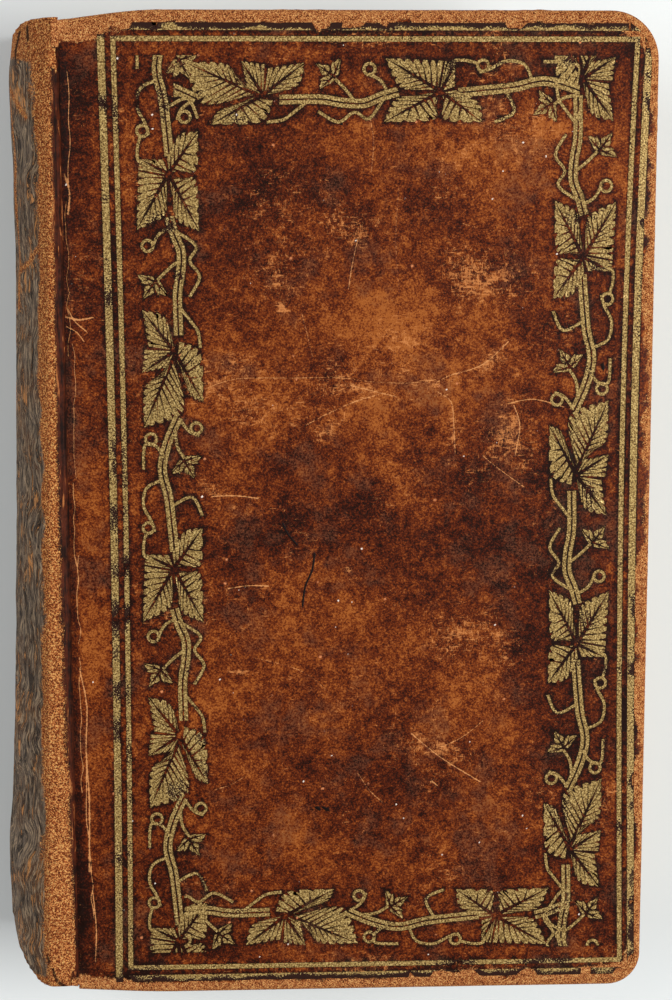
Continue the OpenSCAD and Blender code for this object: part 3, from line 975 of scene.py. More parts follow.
            def place(vert: Vert) -> Triple:
                x, y = outline[order[vert]]
                if at_window:
                    return (clamp(x, s.board_x0, window_x), clamp(y, -window_y, window_y), z)
                if from_board:
                    return (max(x, s.board_x0), y, z)
                if s.board_low < z < s.board_top and x < s.board_x0:
                    return (x, y, s.board_top - self.crease(x, y))
                if s.turn_in_low < z < s.board_top:
                    out = self.ragged(x, y) * smooth(0, 1.5, x - s.hinge_x)
                    far_y = s.half_h - inside
                    inner = (clamp(x, s.hinge_x, s.fore_x - inside), clamp(y, -far_y, far_y))
                    away = Vector((x - inner[0], y - inner[1])).normalized() * out
                    return (x + away.x, y + away.y, z)
                return (x, y, z - (self.crease(x, y) if z <= s.board_top else 0))

            edges, grown = pushed(mesh, edges, place)
            order = {vert: order[parent] for vert, parent in grown.items()}
        ends = sorted(order, key=order.get)
        closing = mesh.edges.new((ends[0], ends[-1]))
        bmesh.ops.contextual_create(mesh, geom=[*edges, closing])
        bmesh.ops.holes_fill(mesh, edges=[edge for edge in mesh.edges if edge.is_boundary], sides=0)
        bmesh.ops.remove_doubles(mesh, verts=mesh.verts, dist=WELD)
        close_up(mesh)

    def bare(self, x: float, y: float) -> float:
        """Returns how far a point of the face lies within the bare edge."""
        return self.wear.bare(x, y, self.edge_distance(x, y), self.on_end(x, y))

    def paint(self, mesh: Mesh) -> None:
        """Writes how bright, scuffed, scratched and bare each point of the leather is."""
        s = self.sizes
        pressed = mesh.verts.layers.float["pressed"]
        names = ("tone", "scuff", "scratch", "bare")
        tone, scuff, scratch, bare = (mesh.verts.layers.float.new(name) for name in names)
        for vert in mesh.verts:
            x, y, z = vert.co
            if z < s.board_low + 0.1:
                vert[tone], vert[bare] = 0.5, -FAR
                continue
            # The tooling's points are darkened: hot-tool darkening and painted shade in the grooves
            vert[tone] = self.wear.tone(x, y) - self.scorch_and_groove_shade * vert[pressed]
            vert[scuff] = self.wear.scuff(x, y)
            vert[scratch] = self.wear.scratch(x, y)
            vert[bare] = self.bare(x, y)
        for face in mesh.faces:
            face.material_index = int(max(vert[bare] for vert in face.verts) > SUEDE_FROM)

    def gold(self, plan: Plan, zone: Zone, node: str, looks: "Looks") -> None:
        """Builds the gold that lies at the foot of the tooling in one zone."""
        s = self.sizes
        mesh = bmesh.new()
        lost = mesh.verts.layers.float.new("lost")
        verts: dict[int, Vert] = {}
        for triangle, kind in zip(plan.triangles, plan.zones):
            if kind is not zone:
                continue
            for i in triangle:
                if i not in verts:
                    x, y = plan.coords[i]
                    z = s.thick + self.relief(x, y) - self.press_d + self.gold_t
                    verts[i] = mesh.verts.new((x, y, z))
                    verts[i][lost] = self.worn_gold(x, y)
            if min(verts[i][lost] for i in triangle) < self.gone:
                mesh.faces.new([verts[i] for i in triangle])
        bmesh.ops.delete(mesh, geom=[vert for vert in mesh.verts if not vert.link_faces], context="VERTS")
        mesh.normal_update()
        thicken(mesh, self.gold_t)
        self.turn_over(mesh)
        name = f"{self.side.value}_{node}"
        finished(mesh, f"{name}_leaf", self.body, [looks.gold], [name], 50)

    def worn_gold(self, x: float, y: float) -> float:
        """Returns how much of the gold is lost at a point, from about -1 to 1."""
        rubbed = 0.8 * ripple(x, y, self.wear.seed + 33, 5, 5) + total(self.wear.rubs, x, y)
        return rubbed + 0.8 * smooth(-0.9, 0.6, self.bare(x, y)) + 0.3 * clamp(self.wear.scuff(x, y))

    def turn_over(self, mesh: Mesh) -> None:
        """Mirrors a finished mesh to the back of the book, for the back cover."""
        if self.side is Side.BACK:
            for vert in mesh.verts:
                vert.co.z = self.sizes.thick - vert.co.z
            bmesh.ops.reverse_faces(mesh, faces=mesh.faces)


def dress_node(node: str, material: Material) -> None:
    """Gives a CAD node that stays in sight its material."""
    data = frame["nodes"][node].data
    data.materials.clear()
    data.materials.append(material)


# The back


@dataclass
class Spine:
    """The leather over the round back and both ridges, turned in at worn caps."""

    sizes: BookSizes
    # The flat ridges beside the covers
    ridge_w: float = 4.4
    ridge_drop: float = 0.15
    # The round between them, and by how many degrees it leans
    round_depth: float = 6.7
    round_start: float = 1.0
    lean: float = 1.2
    skin_t: float = 0.8
    # How deep the caps are turned in, and half the height at which they open
    lip_w: float = 3.2
    mouth_z: float = 12.25
    # Radius and width of each worn cap
    head_cap: tuple[float, float] = (9.5, 7.5)
    tail_cap: tuple[float, float] = (11.0, 6.0)
    y_step: float = 0.7
    arc_step: float = 0.36
    smoothings: int = 3
    crack_w: float = 0.55
    split_w: float = 0.45
    # How far the suede reaches in from the head and the tail
    head_suede: float = 8.0
    tail_suede: float = 1.6
    # How far the suede stays below the ridge's top, so that an open cover clears it
    clearance: float = 0.05
    # How far the handled back swells out or has sunk in, as places along Y and amounts
    swells: tuple[Point, ...] = ((90.0, 0.2), (77.0, 0.8), (60.0, 0.1), (47.0, -0.3), (0.0, -0.3),
                                 (-30.0, 0.0), (-50.0, 0.5), (-65.0, 1.3), (-75.0, 0.9), (-90.0, 0.0))
    # Cracks on the front half of the back, as height off the middle, and Y
    cracks: tuple[tuple[Point, ...], ...] = (
        ((4.5, 78.0), (5.8, 70.0), (6.7, 62.0), (5.8, 54.0), (7.5, 46.0), (6.9, 37.0)),
        ((4.2, 76.5), (9.1, 73.0), (12.0, 70.5)),
        ((7.2, 43.6), (11.2, 45.0), (13.6, 47.4)),
        ((1.5, 32.0), (2.6, 22.0), (1.8, 14.0)),
    )
    # Dark splits in the suede of the caps
    splits: tuple[tuple[Point, ...], ...] = (
        ((-54.4, 85.0), (-54.9, 82.0), (-54.6, 78.5)), ((-53.0, 86.0), (-52.6, 83.4)),
        ((-48.6, -83.6), (-48.2, -85.4), (-47.2, -87.2)), ((-49.6, -81.0), (-49.2, -82.6)),
    )

    @property
    def ridge_x(self) -> float:
        """Where the round begins."""
        return self.sizes.hinge_x - self.ridge_w

    @property
    def back_r(self) -> float:
        """Radius of the round."""
        rise = self.sizes.middle - self.round_start
        return (rise ** 2 + self.round_depth ** 2) / (2 * self.round_depth)

    @property
    def back_x(self) -> float:
        """Middle of the round."""
        return self.ridge_x - self.round_depth + self.back_r

    def section(self, inset: float) -> list[Point]:
        """Returns the back's section from one hinge to the other, as X and height off the middle."""
        s = self.sizes
        top, r = s.middle - self.ridge_drop - inset, self.back_r - inset
        start = math.asin(top / r)
        shoulder = self.back_x - r * math.cos(start)
        slope_end, slope_start = s.hinge_x - HINGE_GAP, s.hinge_x - CREASE_W
        parts, flat_parts = 5, 7
        half = [(mix(slope_end, slope_start, k / parts), top - CREASE_D * (1 - k / parts))
                for k in range(parts)]
        half += [(mix(slope_start, shoulder, k / flat_parts), top) for k in range(flat_parts)]
        count = round(2 * start * self.back_r / self.arc_step)
        arc = [mix(start, -start, k / count) for k in range(count + 1)]
        points = half + [(self.back_x - r * math.cos(a), r * math.sin(a)) for a in arc]
        points += [(x, -z) for x, z in half[::-1]]
        for _ in range(self.smoothings):
            inner = [((p[0] + 2 * q[0] + n[0]) / 4, (p[1] + 2 * q[1] + n[1]) / 4)
                     for p, q, n in zip(points, points[1:], points[2:])]
            points = [points[0], *inner, points[-1]]
        return points

    def worn_x(self, y: float, inset: float) -> float:
        """Returns how far towards the spine the leather still reaches beside a worn cap."""
        s = self.sizes
        r, w = self.head_cap if y > 0 else self.tail_cap
        past = abs(y) - (s.cap_half_h - math.sqrt(r * r - (r - w) ** 2))
        if past <= 0:
            return -math.inf
        return s.spine_x + r - math.sqrt(max((r - inset) ** 2 - past * past, 0.0))

    def chain(self) -> list[tuple[float, float, bool]]:
        """Returns one closed run round the skin: its place along Y, its inset and whether outside."""
        end, t = self.sizes.cap_half_h, self.skin_t
        count = round(2 * end / self.y_step)
        bend = [(0.0, 0.35), (0.12, 0.12), (0.35, 0.0)]
        run = [(-end + back, inset, True) for back, inset in bend]
        run += [(mix(-end, end, k / count), 0.0, True) for k in range(1, count)]
        run += [(end - back, inset, True) for back, inset in bend[::-1]]
        run += [(end, self.lip_w / 2, True), (end, self.lip_w, True), (end - t, self.lip_w, False),
                (end - t, t, False)]
        run += [(mix(end, -end, k / 8), t, False) for k in range(1, 8)]
        run += [(t - end, t, False), (t - end, self.lip_w, False), (-end, self.lip_w, True),
                (-end, self.lip_w / 2, True)]
        return run

    def build(self, looks: "Looks") -> None:
        """Builds the leather as one closed run carried round the section."""
        s = self.sizes
        mesh = bmesh.new()
        layers = [mesh.verts.layers.float.new(name) for name in ("bare", "inner", "split")]
        chain = self.chain()
        sections = {inset: self.section(inset) for inset in {inset for _, inset, _ in chain}}
        plain = sections[0.0]
        run = [0.0]
        for p, q in zip(plain, plain[1:]):
            run.append(run[-1] + math.dist(p, q))

        def spot(i: int, j: int) -> Triple:
            y, inset, out = chain[i]
            if inset > self.skin_t and abs(plain[j][1]) > self.mouth_z:
                inset = self.skin_t
            x, z = self.section_at(sections, inset, j)
            lean = y * math.tan(math.radians(self.lean)) * smooth(s.hinge_x - 0.5, s.hinge_x - 2.5, x)
            swell = self.swell(y) * smooth(self.ridge_x + 0.5, self.ridge_x - 3.0, x)
            x = max(x + lean - swell, self.worn_x(y, inset))
            if out and x > s.hinge_x - CREASE_W:
                depth = smooth(CREASE_W, HINGE_GAP, s.hinge_x - x)
                filled = abs(z) + (CREASE_D - s.crease_d(y)) * depth
                z = math.copysign(min(filled, s.middle - self.ridge_drop - self.clearance), z)
            if out and inset < 0.5:
                nx, nz = x - self.back_x, z
                length = math.hypot(nx, nz)
                lift = self.relief(run[j], y, plain[j][0])
                x, z = x + lift * nx / length, z + lift * nz / length
            return (x, y, z + s.middle)

        verts = [mesh.verts.new(spot(i, 0)) for i in range(len(chain))]
        order = {vert: i for i, vert in enumerate(verts)}
        first = edges = [mesh.edges.new(pair) for pair in zip(verts, verts[1:] + verts[:1])]
        for j, place in enumerate(plain):
            if j > 0:
                edges, grown = pushed(mesh, edges, lambda vert, j=j: spot(order[vert], j))
                order = {vert: order[parent] for vert, parent in grown.items()}
            for vert, i in order.items():
                self.paint(vert, layers, chain[i], place)
        for end in (first, edges):
            bmesh.ops.contextual_create(mesh, geom=end)
        close_up(mesh)
        finished(mesh, "spine_skin", "book_block", [looks.spine], ["spine_leather"], 60)

    def swell(self, y: float) -> float:
        """Returns how far the back stands out at a place along the book."""
        for (y0, a), (y1, b) in zip(self.swells, self.swells[1:]):
            if y1 <= y <= y0:
                return mix(a, b, smooth(y0, y1, y))
        return 0.0

    def section_at(self, sections: dict[float, list[Point]], inset: float, j: int) -> Point:
        """Returns point j of the section at an inset, matched by its share of the whole."""
        points = sections[inset]
        place = j / (len(sections[0.0]) - 1) * (len(points) - 1)
        i = min(int(place), len(points) - 2)
        return mix_point(points[i], points[i + 1], place - i)

    def relief(self, run: float, y: float, x: float) -> float:
        """Returns how far the leather stands out: long wrinkles on the back, crumbs on the ridges."""
        on_back = smooth(self.ridge_x + 1.2, self.ridge_x - 0.6, x)
        sway = 1.6 * ripple(run, y, 40.0, 14.0)
        wrinkles = 0.22 * ripple(run * 1.5 + sway, y * 0.13, 7.0, 1.7, 4)
        wrinkles += 0.1 * ripple(run, y * 0.3, 31.0, 4.5)
        crumbs = 0.05 * ripple(run, y, 17.0, 1.1) + 0.05 * ripple(run, y, 23.0, 4.0)
        worn_end = 0.25 * smooth(9.0, 0.0, self.sizes.cap_half_h - abs(y))
        return mix(crumbs, wrinkles, on_back) - 0.08 - worn_end

    def paint(self, vert: Vert, layers: Sequence[bmesh.types.BMLayerItem],
              link: tuple[float, float, bool], place: Point) -> None:
        """Writes how far a point lies inside bare suede, past the ridge's suede and in a split.

        Args:
            vert: The point.
            layers: The layers for the three values.
            link: Its place along the book, its inset and whether it is outside.
            place: Its X and its height off the middle, before the back leans.
        """
        y, _, out = link
        x, z = place
        # The ridge's suede widens over the back towards the head
        left = self.ridge_x - 0.2 - 1.1 * smooth(0, 45, y) - 0.7 * smooth(58, 76, y)
        left += 0.8 * ripple(x * 2.0, y * 0.6, z, 3, 4)
        right = self.sizes.hinge_x - 1.8 - 0.017 * y + 0.25 * ripple(x, y, z, 2.5)
        bare = min(x - left, right - x)
        head, tail = self.sizes.cap_half_h - y, self.sizes.cap_half_h + y
        bare = max(bare, self.head_suede - head - 0.3 * (self.ridge_x - x), self.tail_suede - tail)
        if z > 0:
            bare = max(bare, self.crack_w - min(to_line((z, y), crack) for crack in self.cracks))
        split = min(to_line((x, y), split) for split in self.splits)
        vert[layers[0]] = clamp(bare, -FAR, FAR) if out else -FAR
        vert[layers[1]] = clamp(x - right, -FAR, FAR)
        vert[layers[2]] = clamp(1 - split / self.split_w) if z > 0 else 0.0


@dataclass
class Joints:
    """The strips of leather that bend along the joints between the covers and the book."""

    sizes: BookSizes
    strip_t: float = 0.3
    half_w: float = 1.15
    # How far a strip lies below the crease, and how far short of the covers' ends it stops
    sink: float = 0.12
    end_gap: float = 1.9
    # How far its suede reaches in from the head and the tail
    head_suede: float = 6.5
    tail_suede: float = 3.0

    def build(self, looks: "Looks") -> None:
        """Builds the strip of each joint."""
        for side in Side:
            self.strip(side, looks.joint)

    def strip(self, side: Side, material: Material) -> None:
        """Builds one strip that bends with its cover."""
        s = self.sizes
        x0, x1 = s.hinge_x - self.half_w, s.hinge_x + self.half_w
        low = s.middle - CREASE_D - self.sink - self.strip_t
        half_h = s.half_h - self.end_gap
        mesh = bmesh.new()
        bmesh.ops.create_grid(mesh, x_segments=6, y_segments=180, size=0.5)
        bare = mesh.verts.layers.float.new("bare")
        hand = 1 if side is Side.FRONT else -1
        for vert in mesh.verts:
            x, y = mix(x0, x1, vert.co.x + 0.5), 2 * half_h * vert.co.y
            top = low + self.strip_t + 0.05 * ripple(x, y, 5.0, 3) + CREASE_D - s.crease_d(y)
            vert.co = (x, y, s.middle + hand * top)
            vert[bare] = max(self.head_suede - (s.half_h - y), self.tail_suede - (s.half_h + y), -FAR)
        thicken(mesh, hand * self.strip_t)
        piece = finished(mesh, f"{side.value}_joint_leather", "", [material])
        z = (s.middle + hand * (low + self.strip_t / 2)) * MM
        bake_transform(piece, "book_block", f"{side.value}_cover",
                 start=(x0 * MM, 0.0, z), end=(x1 * MM, 0.0, z))


# Materials


def srgb(red: int, green: int, blue: int) -> tuple[float, float, float, float]:
    """Turns a colour from 0-255 screen values into the renderer's linear values."""
    return (*((c / 255 / 12.92 if c < 11 else ((c / 255 + 0.055) / 1.055) ** 2.4)
              for c in (red, green, blue)), 1.0)


class Net:
    """Short calls for laying shader nodes in one tree."""

    def __init__(self, tree: bpy.types.NodeTree) -> None:
        """Keeps the tree that the calls work on."""
        self.tree = tree

    def put(self, socket: Socket, value: Value) -> None:
        """Links an output to a socket, or sets a constant on it."""
        if isinstance(value, Socket):
            self.tree.links.new(value, socket)
        else:
            socket.default_value = value

    def node(self, kind: str, inputs: dict[str | int, Value], **settings: object) -> bpy.types.Node:
        """Adds a node with its settings and inputs.

        Args:
            kind: The node's type, without its prefix.
            inputs: Values or outputs for its input sockets, by name or number.
            settings: Values for its properties.

        Returns:
            The node.
        """
        node = self.tree.nodes.new(f"ShaderNode{kind}")
        for name, value in settings.items():
            setattr(node, name, value)
        for key, value in inputs.items():
            self.put(node.inputs[key], value)
        return node

    def math(self, operation: str, a: Value, b: Value) -> Socket:
        """Returns the outcome of an operation on two values."""
        return self.node("Math", {0: a, 1: b}, operation=operation).outputs[0]

    def step(self, value: Value, low: float, high: float, to_low: float = 0.0,
             to_high: float = 1.0) -> Socket:
        """Returns a soft step of a value, from to_low at low to to_high at high."""
        return self.node("MapRange", {"Value": value, "From Min": low, "From Max": high,
                                      "To Min": to_low, "To Max": to_high},
                         interpolation_type="SMOOTHSTEP").outputs[0]

    def noise(self, place: Value, scale: Value, detail: Value, rough: float = 0.55,
              bend: float = 0.0) -> Socket:
        """Returns soft noise about 0.5. Scale counts its lumps in a millimetre."""
        return self.node("TexNoise", {"Vector": place, "Scale": scale, "Detail": detail,
                                      "Roughness": rough, "Distortion": bend}).outputs[0]

    def cells(self, place: Value, scale: float) -> bpy.types.NodeOutputs:
        """Returns scattered cells: each point's distance from a middle, and a colour for each cell."""
        return self.node("TexVoronoi", {"Vector": place, "Scale": scale}).outputs

    def channel(self, colour: Value, number: int) -> Socket:
        """Returns one channel of a colour."""
        return self.node("SeparateColor", {0: colour}).outputs[number]

    def blend(self, share: Value, a: Value, b: Value, mode: str = "MIX") -> Socket:
        """Returns colour a mixed with colour b."""
        return self.node("Mix", {0: share, 6: a, 7: b}, data_type="RGBA", blend_type=mode).outputs[2]

    def layers(self, ground: Value, *coats: tuple[Value, Value]) -> Socket:
        """Returns a ground colour under coats, each a share and a colour."""
        for share, colour in coats:
            ground = self.blend(share, ground, colour)
        return ground

    def ramp(self, share: Value, stops: Sequence[tuple[float, tuple]]) -> Socket:
        """Returns a colour that runs through stops, each a place and a colour."""
        node = self.node("ValToRGB", {0: share})
        row = node.color_ramp.elements
        while len(row) < len(stops):
            row.new(0.5)
        for item, (place, colour) in zip(row, stops):
            item.position, item.color = place, colour
        return node.outputs[0]

    def moved(self, place: Value, by: Value, amount: float) -> Socket:
        """Returns a place pushed about by a value."""
        push = self.node("VectorMath", {0: by, 1: (amount,) * 3}, operation="MULTIPLY").outputs[0]
        return self.node("VectorMath", {0: place, 1: push}, operation="ADD").outputs[0]

    def stretched(self, place: Value, scale: Triple) -> Socket:
        """Returns a place stretched along the axes."""
        return self.node("VectorMath", {0: place, 1: scale}, operation="MULTIPLY").outputs[0]

    def sum(self, *values: Value) -> Socket:
        """Returns the sum of several values."""
        out = values[0]
        for value in values[1:]:
            out = self.math("ADD", out, value)
        return out

    def times(self, value: Value, factor: Value) -> Socket:
        """Returns a value times a factor."""
        return self.math("MULTIPLY", value, factor)

    def about(self, value: Value, factor: float) -> Socket:
        """Returns how far noise lies from its middle, times a factor."""
        return self.times(self.math("SUBTRACT", value, 0.5), factor)


# The groups' sockets that aren't plain numbers
KINDS = {"Place": "Vector", "Color": "Color", "Dark": "Color", "Light": "Color"}


class Shared:
    """A node group that several materials use, made once."""

    def __init__(self, draw: Callable[[Net, Sockets], Drawn], inputs: Sequence[str],
                 outputs: Sequence[str]) -> None:
        """Makes the group.

        Args:
            draw: Lays the nodes, and returns the value of each output. The group takes its name.
            inputs: The group's input sockets.
            outputs: Its output sockets.
        """
        self.tree = bpy.data.node_groups.new(draw.__name__, "ShaderNodeTree")
        for way, labels in (("INPUT", inputs), ("OUTPUT", outputs)):
            for label in labels:
                kind = f"NodeSocket{KINDS.get(label, 'Float')}"
                self.tree.interface.new_socket(label, in_out=way, socket_type=kind)
        net = Net(self.tree)
        start = self.tree.nodes.new("NodeGroupInput")
        end = self.tree.nodes.new("NodeGroupOutput")
        for label, value in draw(net, {label: start.outputs[label] for label in inputs}).items():
            net.put(end.inputs[label], value)

    def on(self, net: Net, **values: Value) -> bpy.types.NodeOutputs:
        """Uses the group in a tree and returns its outputs."""
        node = net.tree.nodes.new("ShaderNodeGroup")
        node.node_tree = self.tree
        for label, value in values.items():
            net.put(node.inputs[label], value)
        return node.outputs


def flat_place(net: Net) -> Socket:
    """Returns a point's place in its object, in millimetres."""
    place = net.node("TexCoord", {}).outputs["Object"]
    return net.stretched(place, (1000.0, 1000.0, 1000.0))


def grit(net: Net, values: Sockets) -> Drawn:
    """Lays the finest grain of leather and suede."""
    return {"Value": net.noise(values["Place"], 5.6, 2.0, 0.75)}


def fibres(net: Net, values: Sockets) -> Drawn:
    """Lays matted or drawn-out fibres between a dark and a light colour."""
    fibre = net.noise(values["Place"], values["Scale"], values["Detail"], 0.7)
    return {"Color": net.blend(fibre, values["Dark"], values["Light"]), "Height": fibre}


def cracked_leather(net: Net, values: Sockets) -> Drawn:
    """Lays dark leather that has cracked along a joint."""
    streaks = net.noise(net.stretched(values["Place"], (1.0, 0.07, 1.0)), 1.5, 4.0, 0.7, 0.4)
    blots = net.noise(values["Place"], 0.5, 4.0, 0.7)
    browned = net.step(net.sum(streaks, net.times(blots, 0.5)), 0.6, 0.9)
    open_cracks = net.step(streaks, 0.6, 0.64, 0.0, 0.9)
    return {"Color": net.layers(srgb(26, 10, 5), (browned, srgb(84, 34, 13)),
                                (open_cracks, srgb(184, 112, 60)))}


def suede(net: Net, values: Sockets) -> Drawn:
    """Lays the coarse, bare suede where the leather's face is rubbed away."""
    place, grain = values["Place"], values["Grit"]
    lumps = net.noise(place, 1.7, 4.0, 0.75)
    crumbs = net.cells(place, 4.6)["Distance"]
    shade = net.sum(net.times(lumps, 0.6), net.times(grain, 0.75), net.times(crumbs, -0.34))
    colour = net.ramp(shade, (
        (0.36, srgb(74, 32, 16)), (0.44, srgb(138, 72, 36)), (0.52, srgb(176, 106, 58)),
        (0.62, srgb(208, 146, 86)), (0.74, srgb(236, 190, 122))))
    height = net.sum(net.times(grain, 0.8), net.times(lumps, 0.6), net.times(crumbs, -0.5))
    edge = net.sum(values["Width"], net.about(grain, 1.8), net.about(lumps, 1.6))
    return {"Color": colour, "Height": height, "Mask": net.step(edge, -0.2, 0.25)}


def calf_skin(net: Net, values: Sockets) -> Drawn:
    """Lays polished, mottled calf with its fine grain, rubbed patches, chips, scratches and painted glints.
    """
    place, grain, scratch = values["Place"], values["Grit"], values["Scratch"]
    fine = net.noise(place, 0.5, 6.0, 0.75, 0.6)
    streak = net.noise(net.stretched(place, (2.6, 0.8, 1.0)), 1.3, 4.0, 0.8, 0.5)
    brush = net.noise(net.stretched(place, (0.5, 2.4, 1.0)), 1.2, 4.0, 0.8, 0.5)
    pepper = net.noise(place, 3.0, 2.0, 0.8)
    tone = net.sum(values["Tone"], net.about(fine, 1.8), net.about(pepper, 2.0))
    rough = net.math("SUBTRACT", net.math("MAXIMUM", streak, brush), 0.56)
    rub = net.sum(values["Scuff"], net.about(fine, 1.5), net.times(rough, 3.2))
    rubbed = net.step(rub, 0.34, 0.58, 0.0, 0.85)
    clouds = net.times(net.step(net.noise(place, 0.11, 4.0, 0.65), 0.52, 0.64), 0.5)
    grey = net.times(clouds, net.step(pepper, 0.42, 0.6))
    chips = net.cells(net.moved(place, grain, 0.7), 0.24)
    chosen = net.math("GREATER_THAN", net.channel(chips["Color"], 0), 0.66)
    chip = net.times(net.step(chips["Distance"], 0.085, 0.03), chosen)
    # Near-white specks on the grain: painted glints of light
    glint_cells = net.cells(net.moved(place, fine, 1.5), 0.42)
    size = net.times(net.channel(glint_cells["Color"], 1), 0.24)
    glint = net.step(net.math("SUBTRACT", size, glint_cells["Distance"]), 0.15, 0.18)
    scored = net.sum(net.times(scratch, 0.65), net.times(pepper, 0.8), fine)
    colour = net.layers(
        net.ramp(tone, ((0.0, srgb(26, 8, 3)), (0.25, srgb(55, 16, 4)), (0.5, srgb(86, 31, 7)),
                        (0.75, srgb(120, 54, 15)), (1.0, srgb(156, 86, 34)))),
        (grey, srgb(92, 60, 42)), (rubbed, srgb(198, 126, 70)), (chip, srgb(206, 128, 82)),
        (glint, srgb(232, 216, 202)), (net.step(scored, 1.2, 1.5, 0.0, 0.9), srgb(208, 142, 86)),
        (net.step(scratch, -0.1, -0.5), srgb(18, 9, 7)))
    height = net.sum(net.times(fine, 0.7), net.times(grain, 0.5), net.times(scratch, -0.5),
                     net.times(chip, -0.4))
    return {"Color": colour, "Height": height,
            "Gloss": net.sum(0.34, net.times(fine, 0.3), net.times(rubbed, 0.25))}


@dataclass(frozen=True)
class Finish:
    """The plain numbers of one finish. Its roughness counts where its nodes don't say it."""

    roughness: float = 0.9
    bump: float = 0.3
    bump_mm: float = 0.1
    specular: float = 0.3


